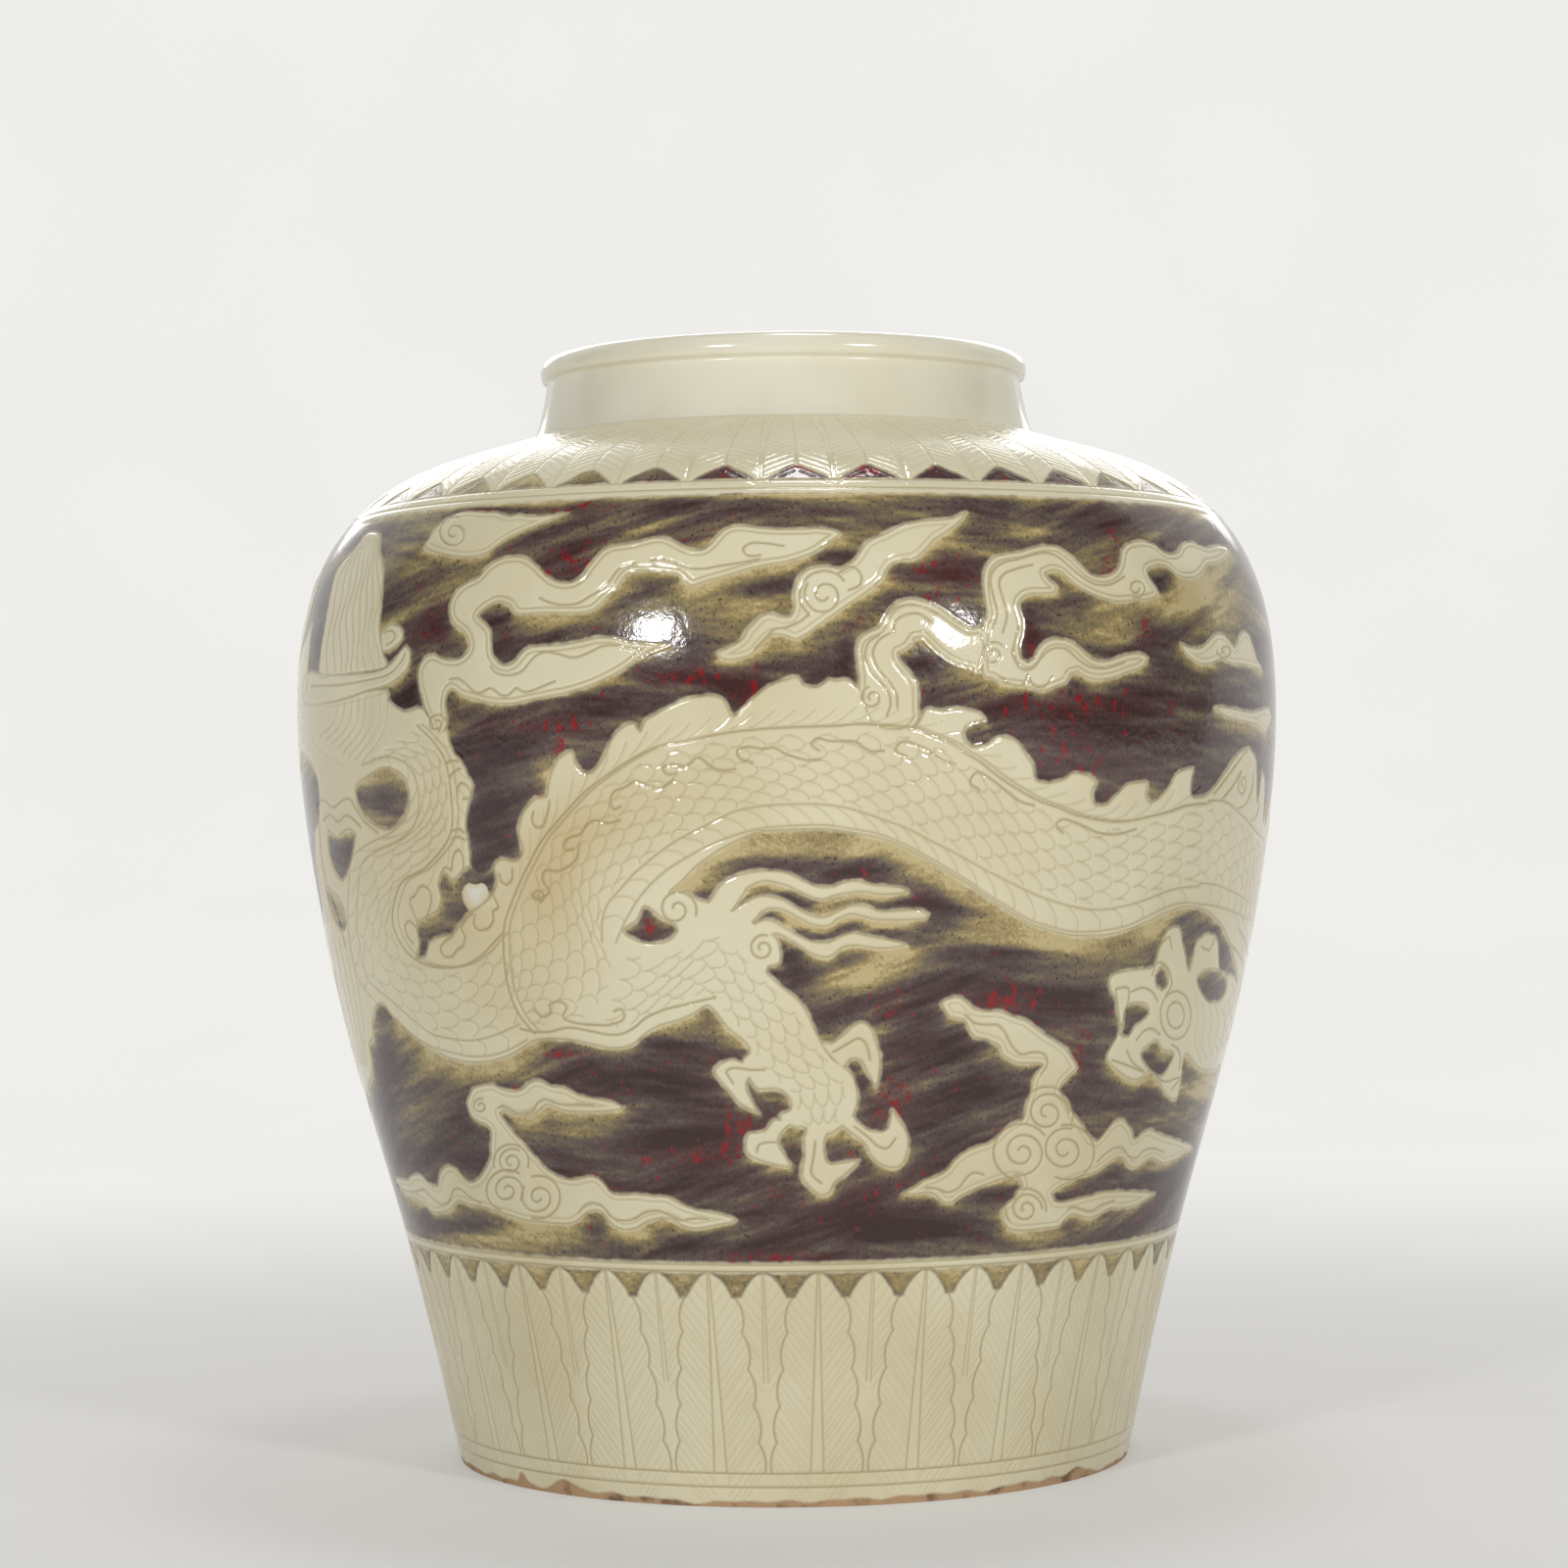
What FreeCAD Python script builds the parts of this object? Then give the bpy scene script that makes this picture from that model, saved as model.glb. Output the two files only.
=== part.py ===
import FreeCAD, Part
import math
import os

# A large lidless storage jar: four thrown wall sections and a floor disc, luted together with slip
# Millimetres, +Z up; the origin is the centre of the ring that the jar stands on

# Outline of the outer wall: heights are stacked from the foot upwards; the belly is the widest place,
# the other radii are drawn in from it, and the collar stands out from the root of the neck
foot_to_hip = 95.0
hip_to_flank = 77.0
flank_to_waist = 90.0
waist_to_belly = 68.0
belly_to_shoulder = 70.0
shoulder_to_crown = 25.0
crown_to_collar = 15.0
collar_to_neck = 4.5
belly_radius = 214.4
foot_draw_in = 67.9
hip_draw_in = 45.8
flank_draw_in = 24.1
waist_draw_in = 5.4
shoulder_draw_in = 17.9
crown_draw_in = 46.7
collar_stand_out = 14.5

# Walls: the body has one thickness, the neck stands on a thicker root, the foot is a broad ring
body_wall = 11.0
neck_root_wall = 16.1
foot_width = 16.0

# Mouth: a straight bore inside a short tapering neck that ends in a round rolled lip
mouth_radius = 94.0
neck_height = 35.5
lip_roll_radius = 6.5
lip_step = 1.4

# Floor: a disc set up inside the foot ring
floor_recess = 8.0
floor_thickness = 14.0

# Joints: the wall sections meet on bevels that fall towards the inside, with a layer of slip between them
joint_slope = 0.5
luting_thickness = 2.0
luting_bead_radius = 3.0
floor_luting_gap = 2.0
floor_bead_radius = 8.0
lower_joint_above_hip = 6.0
belly_joint_below_belly = 16.0

# How far a cutting shape runs past the wall
overrun = 5.0

# Heights and radii worked out from the values above
hip_height = foot_to_hip
flank_height = hip_height + hip_to_flank
waist_height = flank_height + flank_to_waist
belly_height = waist_height + waist_to_belly
shoulder_height = belly_height + belly_to_shoulder
crown_height = shoulder_height + shoulder_to_crown
collar_height = crown_height + crown_to_collar
neck_root_height = collar_height + collar_to_neck
total_height = neck_root_height + neck_height
foot_radius = belly_radius - foot_draw_in
hip_radius = belly_radius - hip_draw_in
flank_radius = belly_radius - flank_draw_in
waist_radius = belly_radius - waist_draw_in
shoulder_radius = belly_radius - shoulder_draw_in
crown_radius = belly_radius - crown_draw_in
neck_root_radius = mouth_radius + neck_root_wall
collar_radius = neck_root_radius + collar_stand_out
bore_bottom_height = neck_root_height - neck_root_wall * joint_slope
foot_inner_radius = foot_radius - foot_width
floor_radius = foot_inner_radius - floor_luting_gap
floor_top = floor_recess + floor_thickness
lower_joint_height = hip_height + lower_joint_above_hip
belly_joint_height = belly_height - belly_joint_below_belly


def point(radius, height):
    """A point of the half section, which lies in the XZ plane."""
    return FreeCAD.Vector(radius, 0, height)


def smooth_curve(points):
    curve = Part.BSplineCurve()
    curve.interpolate(points)
    return curve


def polygon_face(points):
    return Part.Face(Part.makePolygon(points + points[:1]))


def turned(face):
    """The solid that a half section makes when it is turned about the jar's axis."""
    return face.revolve(point(0, 0), FreeCAD.Vector(0, 0, 1), 360)


def outer_points():
    """Points of the outer line of the wall, from the foot to the root of the neck."""
    return [
        point(foot_radius, 0),
        point(hip_radius, hip_height),
        point(flank_radius, flank_height),
        point(waist_radius, waist_height),
        point(belly_radius, belly_height),
        point(shoulder_radius, shoulder_height),
        point(crown_radius, crown_height),
        point(collar_radius, collar_height),
        point(neck_root_radius, neck_root_height),
    ]


def inner_points(outer_curve):
    """Points of the inner line of the wall, from the floor to the bore, one wall inside the outer line."""
    points = [point(foot_inner_radius, floor_top)]
    for outer_point in outer_points()[1:-2]:
        tangent = outer_curve.tangent(outer_curve.parameter(outer_point))[0]
        inward = FreeCAD.Vector(-tangent.z, 0, tangent.x)
        points.append(outer_point + inward * body_wall)
    points.append(point(mouth_radius, bore_bottom_height))
    return points


def wall_face():
    """The half section of the whole wall, with the neck and its rolled lip."""
    outer_curve = smooth_curve(outer_points())
    inner_curve = smooth_curve(inner_points(outer_curve))
    lip_centre_radius = mouth_radius + lip_roll_radius
    lip_centre_height = total_height - lip_roll_radius
    groove_reach = lip_roll_radius - lip_step
    groove_drop = math.sqrt(lip_roll_radius ** 2 - groove_reach ** 2)
    neck_root = point(neck_root_radius, neck_root_height)
    lip_groove = point(lip_centre_radius + groove_reach, lip_centre_height - groove_drop)
    lip_top = point(lip_centre_radius, total_height)
    lip_inside = point(mouth_radius, lip_centre_height)
    bore_bottom = point(mouth_radius, bore_bottom_height)
    floor_corner = point(foot_inner_radius, floor_top)
    foot_inside = point(foot_inner_radius, 0)
    foot_outside = point(foot_radius, 0)
    edges = [
        outer_curve.toShape(),
        Part.makeLine(neck_root, lip_groove),
        Part.Arc(lip_groove, lip_top, lip_inside).toShape(),
        Part.makeLine(lip_inside, bore_bottom),
        inner_curve.toShape(),
        Part.makeLine(floor_corner, foot_inside),
        Part.makeLine(foot_inside, foot_outside),
    ]
    return Part.Face(Part.Wire(Part.__sortEdges__(edges)))


def joint_height_at(radius, outside):
    """The height of the upper face of a bevelled joint that comes out of the wall at a given point."""
    return outside.z - (outside.x - radius) * joint_slope


def joint_slab(outside):
    """The bevelled band between two wall sections, from the axis to past the wall."""
    far_radius = outside.x + overrun
    axis_top = point(0, joint_height_at(0, outside))
    far_top = point(far_radius, joint_height_at(far_radius, outside))
    drop = point(0, luting_thickness)
    return polygon_face([axis_top, far_top, far_top - drop, axis_top - drop])


def slip_ring(layer, bead_centre, bead_radius, neighbours):
    """A layer of slip with the round bead that is squeezed out of it on the inside of the jar."""
    circle = Part.makeCircle(bead_radius, bead_centre, FreeCAD.Vector(0, 1, 0))
    bead = Part.Face(Part.Wire(circle))
    for neighbour in neighbours + [layer]:
        bead = bead.cut(neighbour)
    return turned(layer).fuse(turned(bead.Faces[0])).removeSplitter()


def wall_radius_at(height):
    """The outer radius of the body at a height."""
    curve = smooth_curve(outer_points()).toShape()
    level = Part.makeLine(point(0, height), point(belly_radius + overrun, height))
    return curve.distToShape(level)[1][0][0].x


def wall_luting(wall, slab, outside):
    """The slip in a joint of the body wall."""
    layer = wall.common(slab).Faces[0]
    inner_radius = layer.BoundBox.XMin
    middle = joint_height_at(inner_radius, outside) - luting_thickness / 2
    return slip_ring(layer, point(inner_radius, middle), luting_bead_radius, [wall])


def floor_face(inner_radius, outer_radius):
    """The half section of the floor, or of the slip around it, between two radii."""
    return polygon_face([
        point(inner_radius, floor_recess),
        point(outer_radius, floor_recess),
        point(outer_radius, floor_top),
        point(inner_radius, floor_top),
    ])


wall = wall_face()
lower_joint = point(wall_radius_at(lower_joint_height), lower_joint_height)
belly_joint = point(wall_radius_at(belly_joint_height), belly_joint_height)
neck_joint = point(neck_root_radius, neck_root_height)
lower_slab = joint_slab(lower_joint)
belly_slab = joint_slab(belly_joint)
neck_slab = joint_slab(neck_joint)
sections = wall.cut(lower_slab).cut(belly_slab).cut(neck_slab).Faces
foot, belly, shoulder, neck = sorted(sections, key=lambda face: face.CenterOfMass.z)
floor = floor_face(0, floor_radius)
floor_layer = floor_face(floor_radius, foot_inner_radius)
floor_corner = point(foot_inner_radius, floor_top)

solids = {
    "floor_disc": turned(floor),
    "foot_section": turned(foot),
    "belly_section": turned(belly),
    "shoulder_section": turned(shoulder),
    "neck_section": turned(neck),
    "floor_luting": slip_ring(floor_layer, floor_corner, floor_bead_radius, [wall, floor]),
    "lower_luting": wall_luting(wall, lower_slab, lower_joint),
    "belly_luting": wall_luting(wall, belly_slab, belly_joint),
    "neck_luting": turned(wall.common(neck_slab).Faces[0]),
}

os.makedirs("parts", exist_ok=True)
for node, solid in solids.items():
    solid.exportStep("parts/" + node + ".step")
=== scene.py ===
import math

import bpy
import numpy as np
from mathutils import Matrix, Vector


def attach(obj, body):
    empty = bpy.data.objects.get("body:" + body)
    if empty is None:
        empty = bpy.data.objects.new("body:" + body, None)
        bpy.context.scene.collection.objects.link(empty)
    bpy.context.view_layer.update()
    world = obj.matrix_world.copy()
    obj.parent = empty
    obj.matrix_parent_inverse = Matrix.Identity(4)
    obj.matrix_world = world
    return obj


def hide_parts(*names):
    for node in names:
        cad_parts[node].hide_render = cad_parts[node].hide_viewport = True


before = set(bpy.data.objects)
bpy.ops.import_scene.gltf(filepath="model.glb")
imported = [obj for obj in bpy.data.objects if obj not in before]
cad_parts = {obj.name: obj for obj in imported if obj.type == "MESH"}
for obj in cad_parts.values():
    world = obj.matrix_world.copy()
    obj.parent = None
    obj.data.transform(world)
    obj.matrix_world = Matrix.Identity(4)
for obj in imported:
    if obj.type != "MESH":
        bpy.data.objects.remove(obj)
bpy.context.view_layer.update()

# A glazed storage jar with a dragon reserved in pale glaze on a brushed ground of copper pigment
# Sizes are millimetres until a mesh is made; angle 0 faces the camera and grows towards +X
MM = 0.001

# Outline of the outer wall: heights and radii from the foot to the root of the neck
WALL_HEIGHTS = [0.0, 95.0, 172.0, 262.0, 330.0, 400.0, 425.0, 440.0, 444.5]
WALL_RADII = [146.5, 168.6, 190.3, 209.0, 214.4, 196.5, 167.7, 124.6, 110.1]
BELLY_RADIUS = max(WALL_RADII)
CROWN_HEIGHT = WALL_HEIGHTS[-3]
BODY_WALL = 11.0
FOOT_WIDTH = 16.0
FLOOR_TOP = 22.0
INNER_WALL_ABOVE_FLOOR = 14.0
LOWER_JOINT_HEIGHT = 101.0
BELLY_JOINT_HEIGHT = 314.0
JOINT_SLOPE = 0.5

# Neck and rolled lip
MOUTH_RADIUS = 94.0
TOTAL_HEIGHT = 480.0
LIP_ROLL_RADIUS = 6.5
LIP_STEP = 1.4
LIP_GROOVE_TURN = 0.12
NECK_HOLLOW = 1.6
NECK_HOLLOW_POWER = 4
NECK_BOTTOM = WALL_HEIGHTS[-1] - (WALL_RADII[-1] - MOUTH_RADIUS) * JOINT_SLOPE
BORE_START_BELOW_LIP = 3.0

# The photograph's camera, fitted to the jar's rings and outline
IMAGE_SIZE = 1600
FOCAL_PIXELS = 3936.9
CAMERA_X = -1.6
CAMERA_DISTANCE = 1702.2
CAMERA_HEIGHT = 276.26
CAMERA_PITCH_DOWN = -0.0097
CAMERA_ROLL = 0.0105
SENSOR_WIDTH = 36.0
COS_PITCH, SIN_PITCH = math.cos(CAMERA_PITCH_DOWN), math.sin(CAMERA_PITCH_DOWN)
COS_ROLL, SIN_ROLL = math.cos(CAMERA_ROLL), math.sin(CAMERA_ROLL)

# How finely the skin is divided
COLUMNS = 2048
ROW_STEP = 0.65
INNER_ROW_STEP = 6.0
PROFILE_STEP = 0.5

# Steps between points of a smoothed line, in pixels
OUTLINE_STEP = 4.0
LINE_STEP = 3.0

# Incised lines and the edge of the painted ground
LINE_HALF_WIDTH = 0.58
FINE_HALF_WIDTH = 0.5
VEIN_HALF_WIDTH = 0.42
LINE_DEPTH = 0.34
GROUND_DEPTH = 0.30
EDGE_LINE_DEPTH = 0.4
EDGE_REACH = 12.0

# How deep each kind of line is cut, as a share of the full depth
EDGE_SHARE = 0.85
RING_SHARE = 0.9
SECOND_BACK_LINE_SHARE = 0.8
SCALE_SHARE = 0.6
PLATE_EDGE_SHARE = 0.8
FIN_SHARE = 0.55
HAIR_SHARE = 0.7
LEG_HAIR_SHARE = 0.6
FAN_EDGE_SHARE = 0.5
VEIN_SHARE = 0.42

# Lines that follow a figure's edge inside it, as (depth, share of the full depth of a line)
CLOUD_CONTOURS = [(2.6, 0.6)]
RIBBON_CONTOURS = [(2.4, 0.8)]
HAIR_CONTOURS = [(0.4, 0.7)]

# Scales, belly plates and the strokes of the fin, in pixels
SCALE_PIXELS = 19.0
PLATE_PIXELS = 23.0
FIN_SPACING = 21.0
FIN_LENGTH = 26.0
FIN_STOPS_BEFORE_END = 30.0
FIN_ROOT_LIFT = 3.0
FIN_TIP_LIFT = 15.0
FIN_LIFT_POWER = 1.6

# How many points each kind of line has
BOW_POINTS = 13
FIN_POINTS = 8
CURL_POINTS_PER_TURN = 28
OVAL_POINTS = 40
PEARL_POINTS = 24
LOCK_POINTS = 24
FAN_POINTS = 14
FAN_EDGE_POINTS = 12
LOBED_BACK_POINTS = 120
TAIL_POINTS = 40
PETAL_POINTS = 110
PETAL_TIP_POINTS = 14
BACK_MIDRIB_POINTS = 40
SHOULDER_MIDRIB_POINTS = 30
SHOULDER_EDGE_POINTS = 20
VEIN_POINTS = 6
NECK_SIDE_POINTS = 24
LIP_POINTS = 26
BORE_POINTS = 8
SWEEP_POINTS = 24

# Levels of the borders, read on the photograph at its middle column
MIDDLE_COLUMN = 803
GROUND_TOP_PIXEL = 503
UPPER_LINE_PIXELS = [489, 497]
GROUND_BOTTOM_PIXEL = 1289
LOWER_LINE_PIXELS = [1291, 1298]
FOOT_LINE_PIXELS = [1504, 1518]

# Clouds and ribbons around the dragon, as pixels of the photograph
SMALL_CLOUD = [
    (432, 558), (438, 548), (445, 538), (455, 529), (467, 523), (480, 521), (494, 522), (508, 522),
    (520, 526), (530, 524), (540, 526), (558, 525), (580, 523), (562, 530), (540, 539), (520, 548),
    (509, 555), (499, 563), (489, 567), (476, 569), (462, 568), (448, 565), (438, 562)]
LEFT_RIBBON = [
    (446, 756), (440, 738), (433, 722), (430, 710), (427, 700), (426, 688), (428, 678), (434, 670),
    (442, 667), (454, 672), (466, 672), (474, 667), (478, 660), (477, 652), (472, 644), (464, 638),
    (459, 630), (458, 620), (460, 612), (466, 602), (476, 594), (488, 588), (494, 581), (502, 574),
    (512, 569), (524, 567), (534, 568), (542, 572), (550, 579), (558, 587), (566, 592), (576, 594),
    (586, 592), (594, 586), (600, 578), (608, 568), (616, 560), (626, 556), (640, 554), (654, 551),
    (666, 548), (678, 548), (688, 552), (697, 557), (706, 560), (716, 560), (724, 555), (732, 546),
    (740, 539), (750, 536), (762, 536), (776, 538), (795, 539), (815, 539), (835, 538), (850, 540),
    (858, 545), (846, 553), (834, 562), (820, 568), (800, 574), (780, 577), (760, 582), (740, 588),
    (722, 593), (706, 598), (699, 594), (692, 587), (678, 584), (660, 583), (645, 584), (637, 589),
    (630, 600), (618, 611), (606, 622), (590, 626), (570, 626), (550, 626), (536, 627), (525, 626),
    (520, 618), (508, 614), (497, 619), (487, 628), (494, 635), (500, 643), (501, 655), (502, 667),
    (509, 676), (518, 678), (526, 673), (531, 666), (539, 660), (552, 658), (572, 657), (590, 654),
    (608, 650), (626, 650), (640, 654), (660, 656), (682, 657), (664, 664), (650, 673), (636, 683),
    (620, 692), (602, 700), (580, 707), (560, 711), (540, 715), (520, 719), (500, 718), (484, 714),
    (470, 710), (460, 703), (455, 710), (454, 722), (456, 735), (452, 748)]
DIAGONAL_CLOUD = [
    (731, 666), (740, 661), (750, 656), (758, 650), (762, 642), (768, 636), (776, 628), (786, 625),
    (796, 628), (806, 628), (810, 619), (809, 608), (811, 597), (815, 588), (822, 581), (832, 578),
    (845, 577), (856, 579), (864, 576), (872, 570), (878, 561), (884, 553), (892, 548), (902, 544),
    (914, 538), (928, 533), (946, 530), (962, 529), (974, 527), (987, 521), (984, 528), (976, 536),
    (965, 544), (955, 550), (948, 558), (940, 566), (930, 571), (920, 572), (911, 575), (905, 582),
    (901, 590), (893, 598), (880, 608), (866, 617), (852, 627), (838, 637), (824, 647), (812, 653),
    (804, 650), (796, 648), (788, 648), (782, 653), (774, 662), (766, 669), (754, 673), (742, 674),
    (734, 671)]
FLAME_RIBBON = [
    (876, 700), (876, 690), (874, 676), (873, 662), (877, 651), (886, 644), (896, 640), (900, 632),
    (906, 622), (916, 614), (928, 610), (940, 612), (952, 616), (964, 623), (976, 632), (990, 640),
    (1003, 640), (1010, 660), (1001, 686), (992, 682), (980, 679), (968, 673), (957, 665), (948, 656),
    (941, 650), (934, 651), (930, 657), (924, 663), (917, 666), (918, 672), (924, 680), (932, 690),
    (937, 698), (938, 710), (938, 722), (938, 735), (920, 750), (890, 745), (876, 720)]
RIGHT_RIBBON = [
    (1003, 640), (1007, 628), (1006, 618), (1004, 606), (1003, 594), (1004, 583), (1008, 574),
    (1016, 567), (1028, 564), (1042, 562), (1054, 558), (1066, 556), (1078, 557), (1090, 564),
    (1100, 573), (1108, 581), (1116, 586), (1126, 588), (1135, 585), (1141, 579), (1144, 570),
    (1145, 561), (1149, 555), (1158, 552), (1168, 552), (1178, 555), (1186, 562), (1194, 565),
    (1202, 563), (1206, 555), (1214, 552), (1222, 555), (1232, 558), (1242, 556), (1253, 559),
    (1252, 568), (1242, 574), (1232, 576), (1227, 584), (1219, 590), (1208, 590), (1200, 586),
    (1194, 580), (1186, 577), (1178, 578), (1171, 582), (1174, 591), (1180, 600), (1182, 608),
    (1172, 612), (1158, 613), (1140, 614), (1124, 610), (1110, 604), (1098, 597), (1090, 590),
    (1083, 584), (1074, 582), (1067, 585), (1072, 592), (1079, 598), (1078, 604), (1068, 606),
    (1054, 606), (1045, 609), (1040, 617), (1043, 627), (1045, 637), (1044, 648), (1041, 660),
    (1043, 671), (1049, 675), (1055, 671), (1059, 663), (1066, 655), (1076, 651), (1088, 652),
    (1098, 657), (1106, 664), (1114, 671), (1124, 674), (1136, 672), (1150, 667), (1164, 666),
    (1172, 671), (1166, 681), (1152, 686), (1136, 692), (1120, 694), (1108, 691), (1100, 686),
    (1093, 688), (1089, 696), (1078, 701), (1062, 706), (1050, 702), (1038, 700), (1024, 698),
    (1012, 692), (1003, 687)]
RIGHT_EDGE_CLOUD = [
    (1204, 656), (1216, 660), (1226, 660), (1234, 653), (1241, 646), (1248, 646), (1254, 652),
    (1260, 660), (1265, 648), (1270, 643), (1276, 650), (1280, 662), (1284, 674), (1288, 684),
    (1272, 679), (1258, 678), (1247, 673), (1237, 677), (1226, 678), (1216, 672), (1209, 665)]
LOW_EDGE_CLOUD = [
    (1239, 722), (1252, 721), (1266, 724), (1280, 726), (1292, 722), (1298, 730), (1292, 748),
    (1282, 740), (1266, 736), (1250, 731)]
LOWER_LEFT_CLOUD = [
    (476, 1126), (478, 1118), (482, 1110), (490, 1107), (502, 1106), (510, 1110), (520, 1113),
    (532, 1111), (538, 1105), (546, 1102), (554, 1104), (562, 1108), (576, 1110), (590, 1117),
    (610, 1121), (630, 1126), (637, 1129), (634, 1133), (620, 1135), (600, 1136), (578, 1135),
    (566, 1131), (558, 1128), (550, 1134), (542, 1139), (530, 1140), (522, 1138), (514, 1134),
    (510, 1137), (516, 1146), (524, 1156), (532, 1164), (540, 1174), (548, 1182), (554, 1190),
    (562, 1196), (574, 1202), (588, 1203), (600, 1200), (610, 1202), (618, 1210), (626, 1218),
    (648, 1218), (664, 1220), (680, 1221), (692, 1227), (704, 1232), (720, 1236), (740, 1240),
    (752, 1245), (744, 1249), (728, 1252), (710, 1255), (696, 1252), (686, 1246), (676, 1244),
    (660, 1248), (650, 1254), (638, 1256), (626, 1252), (620, 1246), (614, 1238), (606, 1236),
    (598, 1239), (590, 1246), (580, 1250), (550, 1248), (534, 1246), (522, 1242), (506, 1237),
    (490, 1232), (478, 1230), (468, 1226), (458, 1236), (442, 1238), (434, 1230), (424, 1224),
    (414, 1220), (408, 1212), (403, 1202), (416, 1204), (420, 1199), (428, 1198), (434, 1204),
    (442, 1210), (446, 1210), (448, 1198), (454, 1190), (462, 1190), (470, 1198), (478, 1206),
    (488, 1202), (496, 1190), (500, 1180), (500, 1166), (500, 1152), (490, 1146), (482, 1141),
    (478, 1134)]
LOWER_RIGHT_CLOUD = [
    (960, 1024), (964, 1020), (974, 1017), (982, 1018), (988, 1023), (994, 1029), (1004, 1031),
    (1016, 1031), (1026, 1033), (1038, 1038), (1048, 1041), (1056, 1047), (1068, 1056), (1078, 1062),
    (1088, 1070), (1094, 1078), (1100, 1090), (1094, 1096), (1086, 1104), (1082, 1112), (1086, 1118),
    (1092, 1128), (1096, 1136), (1104, 1146), (1110, 1156), (1114, 1162), (1120, 1164), (1128, 1156),
    (1136, 1146), (1146, 1142), (1154, 1150), (1158, 1162), (1166, 1156), (1174, 1152), (1182, 1156),
    (1190, 1159), (1200, 1162), (1210, 1166), (1219, 1171), (1210, 1176), (1200, 1184), (1186, 1188),
    (1176, 1182), (1168, 1186), (1160, 1192), (1152, 1191), (1148, 1184), (1140, 1182), (1132, 1187),
    (1120, 1196), (1108, 1200), (1096, 1205), (1082, 1212), (1074, 1218), (1077, 1225), (1086, 1226),
    (1100, 1223), (1112, 1220), (1128, 1216), (1148, 1215), (1166, 1216), (1179, 1218), (1170, 1224),
    (1158, 1231), (1144, 1234), (1132, 1234), (1122, 1240), (1112, 1244), (1102, 1242), (1094, 1240),
    (1086, 1246), (1082, 1252), (1070, 1254), (1054, 1256), (1040, 1257), (1028, 1254), (1024, 1248),
    (1022, 1234), (1028, 1228), (1036, 1222), (1038, 1216), (1043, 1210), (1040, 1203), (1028, 1203),
    (1012, 1208), (992, 1216), (980, 1222), (972, 1228), (962, 1228), (956, 1222), (948, 1218),
    (932, 1220), (920, 1218), (932, 1212), (944, 1204), (956, 1200), (966, 1194), (974, 1184),
    (984, 1176), (996, 1170), (1010, 1166), (1020, 1158), (1028, 1150), (1038, 1144), (1044, 1142),
    (1048, 1126), (1052, 1114), (1054, 1102), (1060, 1092), (1064, 1087), (1052, 1086), (1040, 1086),
    (1030, 1082), (1022, 1076), (1020, 1068), (1012, 1064), (1004, 1061), (994, 1059), (988, 1050),
    (984, 1042), (976, 1040), (968, 1038), (964, 1032)]
FRONT_CLOUDS = [
    SMALL_CLOUD, DIAGONAL_CLOUD, LOWER_LEFT_CLOUD, LOWER_RIGHT_CLOUD, RIGHT_EDGE_CLOUD, LOW_EDGE_CLOUD]
FRONT_RIBBONS = [LEFT_RIBBON, RIGHT_RIBBON, FLAME_RIBBON]

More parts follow.
